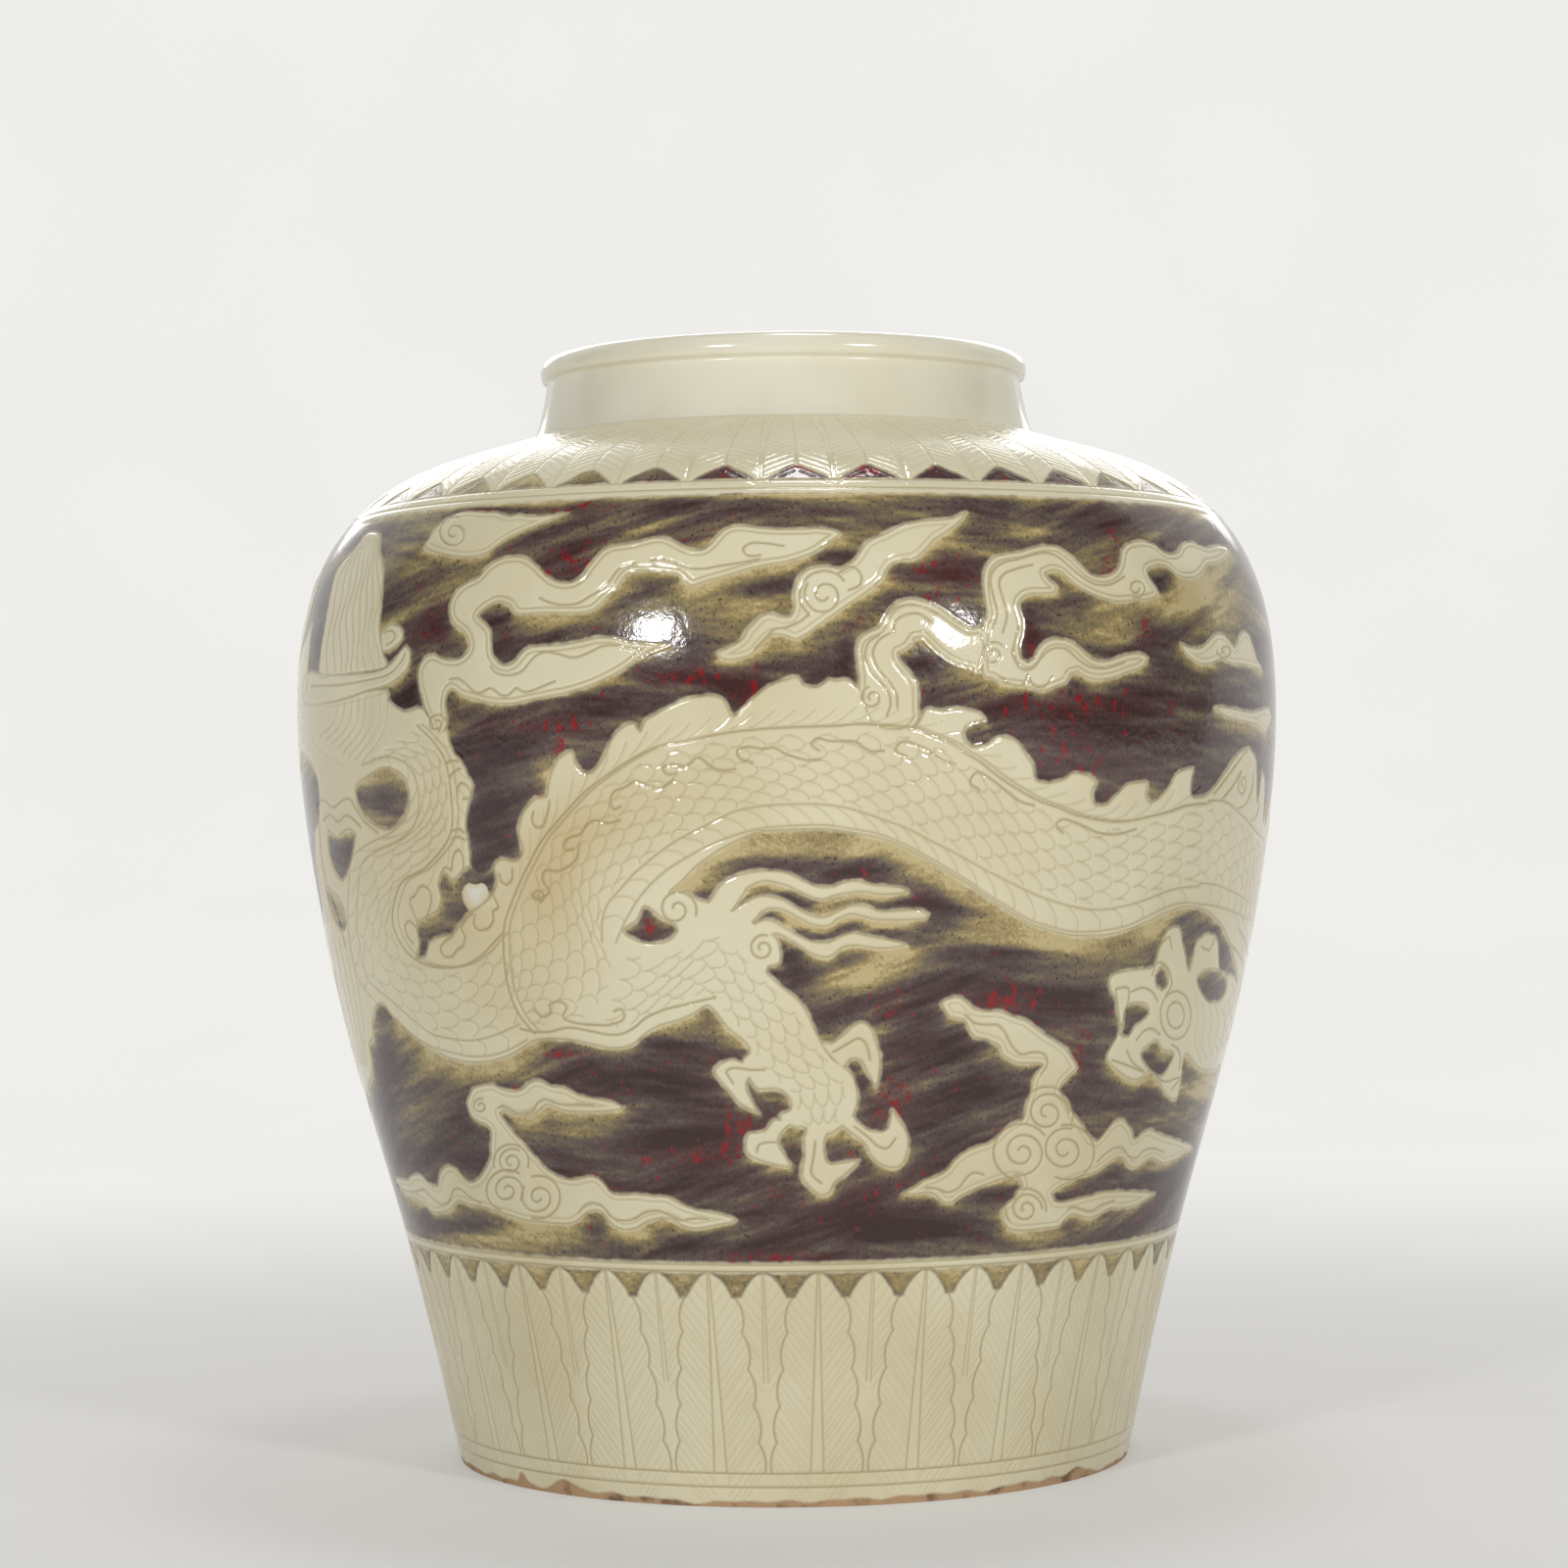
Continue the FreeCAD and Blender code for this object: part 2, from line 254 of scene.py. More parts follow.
# The dragon: the whole reserved body, then its hair, ear, horn, elbow strands, fingers and far paw
DRAGON_BODY = [
    (313, 714), (335, 716), (356, 711), (376, 704), (395, 703), (396, 713), (404, 721), (412, 725),
    (422, 723), (431, 722), (446, 745), (455, 742), (458, 755), (463, 768), (470, 776), (477, 790),
    (482, 802), (479, 815), (476, 830), (475, 845), (478, 860), (480, 880), (483, 893), (491, 898),
    (500, 896), (502, 885), (510, 876), (525, 878), (532, 868), (528, 850), (532, 830), (545, 814),
    (556, 812), (558, 800), (562, 785), (570, 772), (583, 766), (587, 778), (594, 787), (602, 788),
    (610, 780), (616, 770), (622, 755), (630, 745), (640, 738), (648, 738), (652, 746), (657, 735),
    (668, 728), (682, 720), (697, 713), (712, 710), (725, 709), (737, 712), (742, 720), (748, 730),
    (758, 722), (766, 714), (776, 705), (786, 698), (800, 693), (814, 690), (820, 698), (834, 700),
    (846, 692), (853, 694), (866, 693), (880, 705), (925, 740), (938, 735), (945, 722), (960, 724),
    (980, 722), (1000, 727), (1006, 735), (996, 737), (986, 742), (984, 752), (992, 761), (1002, 761),
    (1010, 758), (1020, 752), (1030, 752), (1040, 757), (1048, 770), (1055, 780), (1058, 795),
    (1070, 798), (1085, 795), (1095, 788), (1110, 790), (1120, 798), (1115, 808), (1118, 820),
    (1130, 820), (1140, 810), (1150, 800), (1160, 798), (1172, 798), (1170, 810), (1175, 818),
    (1185, 812), (1195, 800), (1200, 790), (1208, 785), (1218, 783), (1216, 800), (1216, 811),
    (1224, 813), (1235, 808), (1245, 795), (1255, 780), (1265, 767), (1275, 763), (1285, 780),
    (1292, 797), (1300, 830), (1300, 880), (1294, 930), (1284, 980), (1272, 1030), (1262, 1050),
    (1262, 1000), (1258, 975), (1250, 952), (1240, 938), (1228, 929), (1210, 926), (1190, 932),
    (1170, 942), (1150, 950), (1130, 955), (1110, 956), (1090, 955), (1070, 950), (1050, 943),
    (1030, 931), (1010, 919), (990, 905), (970, 893), (950, 881), (930, 870), (900, 857), (870, 851),
    (840, 847), (800, 848), (775, 850), (750, 860), (730, 871), (710, 886), (694, 902), (684, 911),
    (700, 908), (712, 917), (740, 925), (775, 945), (792, 956), (797, 970), (796, 984), (785, 987),
    (783, 992), (800, 1008), (815, 1020), (825, 1035), (832, 1050), (840, 1066), (850, 1080),
    (864, 1090), (872, 1100), (876, 1115), (875, 1130), (870, 1142), (860, 1150), (843, 1160),
    (822, 1156), (808, 1150), (798, 1148), (795, 1138), (806, 1132), (805, 1122), (797, 1114),
    (785, 1112), (772, 1112), (762, 1098), (756, 1083), (764, 1074), (758, 1063), (742, 1050),
    (728, 1032), (722, 1027), (705, 1037), (690, 1043), (675, 1047), (660, 1055), (645, 1067),
    (625, 1071), (600, 1066), (580, 1062), (560, 1061), (545, 1063), (535, 1069), (520, 1078),
    (500, 1084), (480, 1085), (460, 1081), (440, 1071), (420, 1056), (400, 1036), (390, 1024),
    (383, 1030), (380, 1045), (381, 1060), (377, 1066), (379, 1080), (380, 1095), (377, 1108),
    (374, 1118), (362, 1085), (352, 1040), (342, 1000), (333, 955), (325, 900), (315, 840), (308, 780),
    (306, 740)]
HAIR_LOCK = [
    (372, 546), (380, 542), (388, 546), (387, 560), (390, 574), (391, 590), (389, 612), (387, 636),
    (388, 650), (391, 668), (392, 682), (340, 690), (326, 690), (327, 662), (331, 640), (334, 620),
    (338, 602), (341, 588), (347, 576), (358, 564)]
EAR = [
    (388, 648), (393, 641), (400, 636), (407, 638), (411, 646), (409, 654), (403, 660), (397, 664),
    (390, 666)]
HORN = [
    (312, 688), (340, 688), (360, 687), (380, 685), (394, 680), (402, 672), (409, 662), (414, 658),
    (418, 664), (418, 674), (414, 684), (406, 692), (394, 700), (376, 705), (356, 712), (335, 718),
    (312, 718)]
ELBOW_STRANDS = [
    [(712, 917), (722, 920), (735, 902), (755, 892), (775, 888), (800, 889), (820, 898), (835, 904),
     (850, 904), (860, 900), (875, 898), (890, 902), (920, 905), (927, 911), (900, 914), (880, 911),
     (855, 914), (838, 919), (820, 913), (800, 904), (780, 902), (762, 910), (745, 932), (725, 935)],
    [(735, 945), (745, 930), (770, 915), (785, 914), (800, 918), (815, 927), (830, 934), (842, 935),
     (855, 929), (870, 923), (885, 924), (900, 929), (940, 928), (946, 938), (900, 940), (880, 936),
     (868, 934), (855, 939), (845, 946), (830, 945), (815, 938), (800, 930), (785, 929), (770, 940),
     (760, 955)],
    [(755, 960), (770, 942), (785, 938), (800, 945), (815, 954), (830, 960), (845, 961), (855, 956),
     (870, 951), (885, 954), (920, 961), (926, 965), (900, 969), (875, 966), (860, 968), (850, 976),
     (840, 978), (825, 973), (810, 963), (790, 954), (775, 965)]]
NEAR_FINGERS = [
    [(800, 1095), (775, 1090), (750, 1081), (738, 1083), (728, 1093), (736, 1106), (746, 1117),
     (753, 1126), (765, 1133), (775, 1136), (768, 1124), (762, 1108), (770, 1098)],
    [(790, 1142), (780, 1154), (765, 1155), (760, 1165), (762, 1178), (780, 1187), (807, 1192),
     (803, 1182), (795, 1168), (797, 1158), (808, 1148), (820, 1148)],
    [(822, 1150), (820, 1180), (817, 1200), (826, 1213), (838, 1221), (848, 1217), (852, 1208),
     (865, 1198), (877, 1184), (860, 1186), (845, 1186), (842, 1165), (848, 1150)],
    [(855, 1145), (872, 1160), (882, 1168), (888, 1180), (898, 1189), (912, 1193), (922, 1188),
     (928, 1170), (926, 1155), (918, 1143), (910, 1132), (907, 1146), (902, 1154), (885, 1152),
     (872, 1138)],
    [(836, 1064), (848, 1064), (862, 1054), (872, 1045), (882, 1043), (890, 1050), (895, 1064),
     (899, 1080), (898, 1098), (894, 1110), (886, 1098), (878, 1083), (868, 1082), (858, 1090)]]
FAR_PAW = [
    (1150, 990), (1135, 995), (1132, 1008), (1138, 1020), (1140, 1035), (1143, 1046), (1140, 1058),
    (1133, 1070), (1130, 1082), (1145, 1097), (1160, 1103), (1172, 1094), (1180, 1098), (1190, 1118),
    (1201, 1122), (1206, 1100), (1210, 1076), (1225, 1092), (1245, 1088), (1264, 1050), (1262, 1000),
    (1246, 990), (1243, 960), (1235, 952), (1222, 960), (1214, 990), (1208, 965), (1203, 945),
    (1193, 948), (1185, 965), (1178, 985), (1165, 988)]

# Places where the ground shows inside the dragon
GROUND_ISLANDS = [
    [(363, 803), (372, 795), (385, 786), (396, 784), (408, 790), (415, 802), (416, 818), (411, 833),
     (402, 843), (392, 845), (382, 841), (372, 832), (365, 820)],
    [(336, 848), (345, 855), (352, 848), (362, 850), (358, 875), (350, 898), (340, 885), (335, 865)],
    [(333, 905), (343, 912), (350, 925), (353, 940), (350, 950), (343, 942), (337, 925)],
    [(447, 903), (452, 890), (462, 899), (472, 889), (484, 884), (500, 885), (506, 897), (501, 912),
     (490, 923), (478, 931), (470, 941), (461, 952), (448, 955), (438, 960), (433, 975), (425, 977),
     (428, 962), (425, 945), (432, 938), (446, 930), (450, 916)],
    [(636, 950), (650, 940), (657, 926), (665, 930), (675, 938), (688, 944), (690, 950), (680, 960),
     (660, 962), (645, 957)],
    [(761, 909), (770, 903), (782, 900), (795, 903), (808, 911), (818, 918), (832, 926), (820, 927),
     (808, 921), (795, 914), (782, 911), (770, 911)],
    [(775, 934), (785, 928), (797, 930), (808, 936), (818, 945), (830, 953), (815, 952), (803, 944),
     (790, 937), (780, 936)],
    [(1150, 1028), (1160, 1024), (1170, 1026), (1172, 1035), (1165, 1042), (1158, 1048), (1152, 1057),
     (1144, 1055), (1147, 1045)],
    [(1165, 1075), (1172, 1067), (1181, 1062), (1186, 1072), (1198, 1075), (1193, 1088), (1187, 1097),
     (1178, 1096), (1170, 1088)],
    [(1180, 996), (1186, 986), (1192, 996), (1191, 1006), (1186, 1010), (1181, 1006)],
    [(1222, 998), (1232, 990), (1248, 992), (1252, 1006), (1246, 1020), (1234, 1022), (1226, 1012)],
    [(772, 1126), (775, 1116), (785, 1112), (797, 1114), (805, 1122), (806, 1132), (795, 1135),
     (790, 1140), (780, 1153), (764, 1155), (760, 1145), (776, 1140)],
    [(800, 1158), (812, 1152), (822, 1152), (818, 1165), (816, 1178), (818, 1195), (808, 1180),
     (798, 1168)],
    [(845, 1158), (852, 1165), (868, 1168), (880, 1174), (883, 1182), (872, 1184), (852, 1182),
     (843, 1170)],
    [(864, 1090), (872, 1096), (876, 1115), (875, 1130), (872, 1138), (880, 1148), (895, 1152),
     (905, 1148), (908, 1130), (900, 1115), (892, 1110), (884, 1095)],
    [(308, 768), (318, 780), (324, 800), (325, 830), (320, 850), (313, 845), (308, 800)]]

# Incised lines of the dragon's body, as pixels of the photograph
NECK_BACK = [
    (425, 740), (440, 755), (452, 772), (457, 790), (460, 815), (461, 840), (456, 858), (446, 872),
    (437, 882), (430, 888), (410, 900), (401, 925), (401, 945), (410, 965), (425, 980), (445, 987),
    (470, 986), (490, 976), (505, 960), (513, 952)]
NECK_BELLY = [
    (370, 780), (395, 772), (415, 780), (425, 800), (427, 825), (420, 845), (405, 858), (385, 868),
    (370, 880), (366, 900), (364, 940), (368, 970), (376, 1000), (400, 1022), (420, 1040), (440, 1055),
    (460, 1060), (480, 1062), (500, 1058), (520, 1050), (530, 1045)]
NECK_BELLY_EDGE = [
    (372, 794), (394, 784), (410, 790), (417, 805), (417, 825), (411, 838), (398, 850), (378, 860),
    (360, 874), (356, 900), (355, 940), (359, 975), (369, 1005), (392, 1031), (415, 1052), (438, 1067),
    (460, 1074), (480, 1078), (502, 1077), (522, 1070), (538, 1061)]
BACK_LINE = [
    (545, 1055), (530, 1037), (520, 1015), (515, 990), (513, 960), (515, 940), (520, 925), (530, 900),
    (540, 880), (552, 858), (565, 842), (580, 825), (600, 805), (640, 777), (670, 762), (700, 756),
    (740, 748), (790, 743), (850, 741), (880, 739), (930, 743), (950, 750), (970, 758), (985, 768),
    (1000, 777), (1020, 793), (1040, 806), (1060, 817), (1080, 824), (1100, 832), (1130, 838),
    (1150, 838), (1170, 834), (1190, 829), (1210, 822), (1230, 820)]
BELLY_LINE = [
    (540, 1050), (575, 1047), (604, 1040), (622, 1015), (626, 990), (614, 962), (614, 940), (620, 922),
    (632, 908), (645, 893), (660, 880), (675, 868), (690, 858), (705, 850), (725, 840), (750, 828),
    (775, 823), (800, 821), (840, 821), (870, 826), (900, 836), (925, 845), (950, 858), (970, 868),
    (990, 879), (1010, 890), (1030, 900), (1050, 910), (1070, 918), (1090, 924), (1110, 928),
    (1130, 928), (1150, 924), (1170, 918), (1190, 910), (1205, 906), (1225, 904)]
BELLY_EDGE = [
    (628, 962), (634, 948), (642, 932), (652, 916), (665, 901), (680, 888), (697, 877), (715, 867),
    (735, 858), (757, 850), (780, 845), (800, 843), (840, 842), (870, 846), (900, 852), (930, 865),
    (950, 876), (970, 888), (990, 900), (1010, 914), (1030, 926), (1050, 938), (1070, 945), (1090, 950),
    (1110, 951), (1130, 949), (1150, 945), (1170, 936), (1190, 926), (1210, 921), (1230, 924)]
ARM_UPPER = [
    (640, 968), (665, 972), (700, 965), (730, 948), (748, 952), (762, 975), (778, 992), (795, 1008),
    (812, 1024), (824, 1044), (836, 1066), (852, 1084), (866, 1104), (868, 1128), (858, 1146)]
ARM_LOWER = [
    (612, 1052), (640, 1050), (665, 1036), (690, 1026), (712, 1016), (728, 1020), (740, 1036),
    (755, 1052), (768, 1070), (774, 1088), (792, 1104), (808, 1116), (812, 1134), (822, 1150)]

# Scales of the front, as (line of the back, line of the belly, scales across)
FRONT_SCALES = [
    (NECK_BACK, NECK_BELLY, 4), (BACK_LINE[3:14], BELLY_LINE[:13], 6), (BACK_LINE[13:], BELLY_LINE[12:], 5),
    (ARM_UPPER, ARM_LOWER, 4)]

# Belly plates of the front, as (inner line, outer line); those of the body start above the near arm
FRONT_PLATES = [(NECK_BELLY, NECK_BELLY_EDGE), (BELLY_LINE[5:], BELLY_EDGE)]

# Fins of the front, as (line of the back, where they start along it, where they end), and its second line
FRONT_FINS = [(NECK_BACK, 0, 160), (BACK_LINE, 170, 1400)]
SECOND_BACK_LINE_OFFSET = (6, -1)

# Combed hair: both sides of the lock above the horn, and the fan below it
LOCK_LEFT = [(368, 550), (352, 574), (341, 602), (334, 636), (330, 686)]
LOCK_RIGHT = [(386, 548), (388, 575), (389, 605), (386, 640), (390, 682)]
FAN_TOP = [(332, 722), (360, 716), (394, 706)]
FAN_BOTTOM = [(318, 752), (330, 768), (352, 782)]
FAN_INNER = [(345, 718), (340, 738), (326, 752)]
FAN_OUTER = [(394, 704), (395, 728), (388, 752), (368, 780)]
LOCK_STRAND_SHARES = np.linspace(0.06, 0.94, 9)
LOCK_WAVE_SHARE = 0.03
LOCK_WAVE_ALONG = 0.55
LOCK_WAVE_ACROSS = 9
FAN_STRAND_SHARES = np.linspace(0, 1, 8)

# Single incised lines: curls along the back, folds of the ribbons and seams of the cloud heads
SINGLE_LINES = [
    [(590, 862), (588, 876), (580, 884), (568, 889), (556, 888), (553, 898), (560, 910), (548, 918),
     (541, 912)],
    [(585, 866), (577, 868), (574, 862), (580, 855), (592, 851), (597, 843), (606, 837), (620, 840),
     (632, 837)],
    [(633, 823), (626, 826), (622, 818), (626, 808), (636, 804), (648, 798), (664, 803), (673, 805),
     (687, 796)],
    [(690, 790), (680, 790), (676, 783), (688, 780), (700, 782), (712, 773), (725, 782), (735, 786),
     (750, 785)],
    [(768, 778), (755, 774), (752, 766), (762, 762), (778, 764), (790, 763), (803, 770), (825, 776),
     (838, 775)],
    [(836, 766), (828, 760), (834, 753), (846, 756), (863, 756), (874, 757), (882, 763), (890, 767),
     (902, 766)],
    [(925, 772), (914, 766), (920, 757), (934, 760), (948, 766), (962, 776), (975, 780)],
    [(1000, 806), (990, 798), (998, 788), (1012, 795), (1026, 806), (1042, 818), (1056, 822)],
    [(1085, 850), (1078, 842), (1086, 836), (1104, 842), (1122, 850), (1142, 851), (1160, 846)],
    [(550, 610), (562, 615), (576, 617), (590, 615), (600, 609), (612, 602), (622, 592), (632, 580),
     (648, 574)],
    [(458, 693), (466, 692), (474, 697), (484, 706), (492, 706), (500, 702), (512, 710), (520, 708),
     (526, 702), (534, 706), (544, 704), (556, 699), (566, 695)],
    [(664, 572), (674, 570), (688, 574), (702, 579), (718, 580), (735, 577), (755, 574), (775, 570)],
    [(800, 557), (780, 554), (766, 554), (758, 560), (764, 567), (776, 566)],
    [(500, 680), (505, 686), (517, 689), (530, 686), (538, 678), (545, 670), (556, 665), (572, 668),
     (585, 671), (600, 666), (615, 659), (632, 658)],
    [(905, 730), (909, 718), (906, 705), (898, 695), (888, 684), (883, 670), (886, 656), (897, 648)],
    [(916, 722), (915, 708), (906, 694), (895, 680), (891, 665), (897, 653), (908, 646)],
    [(904, 628), (914, 620), (928, 617), (942, 619), (956, 626)],
    [(912, 645), (914, 634), (924, 627), (938, 626), (950, 634)],
    [(1014, 640), (1018, 625), (1014, 608), (1011, 594), (1014, 582), (1024, 574), (1040, 570),
     (1054, 566), (1068, 564), (1080, 568), (1092, 578), (1104, 588), (1118, 596), (1134, 596),
     (1148, 588)],
    [(1024, 645), (1028, 628), (1024, 610), (1020, 596), (1024, 586), (1038, 580), (1054, 576)],
    [(1040, 640), (1036, 655), (1034, 668), (1042, 682), (1054, 682), (1064, 670), (1074, 662),
     (1088, 662), (1100, 672), (1112, 680), (1128, 682), (1148, 676)],
    [(1020, 690), (1030, 697), (1040, 700), (1047, 695), (1049, 688), (1055, 699), (1063, 702),
     (1070, 697), (1074, 690)],
    [(856, 584), (870, 578), (879, 587), (877, 597), (866, 602)],
    [(770, 662), (780, 652), (790, 642), (802, 640), (816, 634), (826, 626)],
    [(508, 1131), (513, 1129), (520, 1133), (530, 1137), (543, 1134), (548, 1126), (556, 1122),
     (566, 1126), (578, 1128), (592, 1127), (606, 1129)],
    [(405, 1210), (415, 1216), (425, 1216), (432, 1214), (440, 1222), (450, 1229), (458, 1226),
     (463, 1214), (470, 1214), (478, 1221), (490, 1228)],
    [(590, 1238), (597, 1230), (606, 1228), (615, 1232), (623, 1242), (635, 1246), (647, 1244),
     (657, 1238), (670, 1236), (682, 1240), (695, 1246), (705, 1244), (722, 1244)],
    [(985, 1036), (995, 1044), (1008, 1046), (1018, 1046), (1026, 1054), (1032, 1066), (1042, 1076),
     (1054, 1074), (1066, 1076), (1069, 1086), (1063, 1096)],
    [(945, 1213), (955, 1213), (967, 1217), (978, 1213), (986, 1203), (994, 1197), (1004, 1199)],
    [(1120, 1186), (1128, 1178), (1137, 1172), (1146, 1172), (1152, 1180), (1160, 1182), (1168, 1174),
     (1178, 1172), (1188, 1176)],
    [(1090, 1234), (1098, 1232), (1106, 1235), (1114, 1236), (1124, 1230), (1138, 1225)],
    [(530, 1050), (545, 1053), (560, 1053), (580, 1049), (600, 1052), (620, 1056), (635, 1055),
     (648, 1048), (660, 1038), (680, 1030), (700, 1025), (730, 1018)],
    [(545, 1030), (552, 1038), (562, 1034), (560, 1026), (570, 1022), (578, 1028), (574, 1038),
     (586, 1044), (604, 1046), (622, 1046), (636, 1040), (634, 1030), (626, 1032)],
    [(318, 700), (345, 699), (375, 694), (396, 688), (408, 676), (413, 666)],
    [(392, 646), (398, 643), (403, 647), (400, 654), (394, 658)],
    [(780, 1092), (765, 1092), (750, 1090), (741, 1094), (748, 1106)],
    [(800, 1168), (788, 1166), (775, 1168), (772, 1176)],
    [(832, 1165), (830, 1182), (828, 1198), (838, 1208)],
    [(872, 1150), (885, 1160), (896, 1170), (906, 1172), (914, 1162)],
    [(850, 1074), (864, 1066), (876, 1060), (884, 1066), (888, 1082)]]

# Claws of the far paw, its oval pad, and the long hairs of the leg behind it
FAR_PAW_LINES = [
    [(1139, 1010), (1144, 1046), (1150, 1030), (1152, 1009), (1139, 1009)],
    [(1150, 1072), (1156, 1084), (1168, 1094), (1150, 1087), (1135, 1082)],
    [(1181, 1099), (1190, 1104), (1204, 1100), (1196, 1112)],
    [(1168, 988), (1180, 972), (1193, 956), (1196, 968)],
    [(1226, 966), (1234, 970), (1240, 957)],
    [(1155, 1012), (1166, 1008), (1176, 1012), (1182, 1022)],
    [(1160, 1062), (1168, 1052), (1176, 1050), (1184, 1056)],
    [(1196, 1066), (1204, 1074), (1204, 1092)],
    [(1176, 996), (1182, 982), (1192, 988), (1196, 1004), (1190, 1016)]]
FAR_PAD = (1200, 1036, 15.5, 24.5)
FAR_PAD_RING_SHARES = [1.0, 0.55]
LEG_HAIRS = [
    [(1219 + 7 * i, 1018 + 3 * i), (1222 + 7 * i, 1042), (1219 + 7 * i, 1064), (1225 + 6 * i, 1086 - 4 * i)]
    for i in range(5)]
LEFT_HAIRS = [
    [(336 + 5 * i, 958), (344 + 5 * i, 1000), (354 + 4 * i, 1042), (366 + 2 * i, 1086)]
    for i in range(5)]
LEFT_HAIRS += [[(317 + 4 * i, 862), (323 + 4 * i, 900), (331 + 4 * i, 942)] for i in range(3)]
EDGE_HAIRS = [
    [(1258 + 7 * i, 926 + 6 * i), (1266 + 6 * i, 956), (1268 + 4 * i, 990), (1262 + 3 * i, 1024)]
    for i in range(2)]

# Flame curls in the hollow between the neck and the chest
NECK_FLAMES = [
    [(466, 812), (466, 804), (470, 799), (476, 802), (480, 810), (478, 815), (472, 815)],
    [(454, 779), (460, 776), (467, 777)],
    [(459, 792), (463, 787), (469, 784)],
    [(461, 848), (468, 846), (473, 850)],
    [(461, 856), (467, 854), (474, 857)],
    [(450, 921), (451, 904), (449, 893), (454, 885), (460, 888), (461, 878), (464, 869), (468, 867),
     (472, 875), (472, 889), (469, 901)],
    [(431, 960), (427, 945), (421, 930), (418, 918), (423, 914), (427, 906), (433, 904), (439, 911),
     (439, 924), (435, 935)],
    [(421, 962), (415, 955), (413, 945), (417, 940), (424, 946)],
    [(438, 958), (446, 950), (455, 948), (462, 954), (454, 960), (449, 968), (453, 976), (461, 976),
     (466, 969), (472, 965), (474, 955), (470, 948), (475, 938), (482, 932)],
    [(484, 934), (483, 943), (488, 949), (498, 947), (503, 938), (502, 930), (508, 926), (503, 914),
     (501, 900), (503, 884)],
    [(509, 892), (511, 900), (516, 903), (522, 897), (522, 887)],
    [(560, 818), (558, 830), (553, 843), (546, 844), (542, 836), (544, 828)],
    [(323, 822), (330, 816), (340, 824), (349, 817), (357, 815), (363, 825), (372, 838), (386, 850)],
    [(330, 838), (337, 831), (345, 839), (352, 832), (360, 835), (368, 844)],
    [(325, 830), (327, 860), (331, 890), (338, 915), (346, 940), (352, 965)]]

# Curls as (centre x, centre y, inner radius, outer radius, turns, turn where it starts)
CURLS = [
    (463, 544, 3, 17, 1.6, 0.2), (841, 607, 4, 21, 1.5, 0.1), (890, 712, 3, 12, 1.3, 0.4),
    (1014, 667, 3, 13, 1.4, 0.5), (1160, 600, 3, 10, 1.3, 0.0), (521, 1186, 3, 14, 1.6, 0.25),
    (517, 1215, 3, 17, 1.5, 0.6), (549, 1222, 3, 18, 1.5, 0.1), (490, 1129, 2, 8, 1.3, 0.5),
    (1069, 1136, 4, 22, 1.7, 0.3), (1043, 1176, 4, 24, 1.7, 0.6), (1087, 1174, 4, 23, 1.7, 0.1),
    (1047, 1234, 3, 17, 1.6, 0.4), (690, 928, 4, 21, 1.5, 0.55), (778, 968, 3, 14, 1.4, 0.4),
    (445, 738, 3, 10, 1.3, 0.7), (548, 914, 2, 7, 1.2, 0.0), (1250, 664, 2, 8, 1.2, 0.3),
    (1069, 1136, 27, 27, 0.62, 0.45), (1043, 1176, 29, 29, 0.6, 0.3), (1089, 1176, 28, 28, 0.6, 0.72),
    (1047, 1234, 21, 21, 0.62, 0.4), (521, 1186, 18, 18, 0.6, 0.45), (517, 1215, 21, 21, 0.55, 0.3),
    (549, 1222, 22, 22, 0.6, 0.7), (841, 607, 25, 25, 0.55, 0.35)]

# The side that the photograph doesn't show, unrolled: the head before the mane, the tail and the far legs
HEAD = [
    (930, 700), (880, 684), (830, 668), (790, 652), (755, 646), (728, 652), (706, 660), (684, 652),
    (664, 636), (646, 634), (628, 642), (614, 658), (602, 676), (586, 684), (568, 680), (550, 672),
    (532, 676), (520, 690), (516, 708), (520, 726), (534, 740), (556, 742), (580, 744), (604, 748),
    (622, 758), (610, 768), (588, 772), (564, 776), (548, 786), (544, 800), (556, 810), (580, 812),
    (606, 806), (632, 802), (660, 806), (684, 816), (706, 828), (724, 850), (734, 828), (752, 846),
    (760, 820), (780, 834), (788, 808), (808, 818), (822, 796), (870, 786), (930, 780)]
HEAD_PARTS = [
    [(690, 656), (704, 622), (728, 600), (760, 588), (800, 584), (842, 592), (872, 582), (850, 604),
     (812, 606), (776, 612), (748, 626), (732, 648), (720, 666)],
    [(756, 654), (768, 628), (790, 618), (814, 624), (800, 638), (788, 658), (776, 670)],
    [(800, 668), (830, 642), (862, 630), (888, 606), (900, 574), (908, 612), (896, 646), (870, 670),
     (850, 690)],
    [(850, 694), (880, 664), (906, 652), (935, 640), (935, 704), (890, 710)],
    [(640, 640), (636, 616), (618, 600), (596, 600), (612, 612), (616, 630), (622, 650)]]
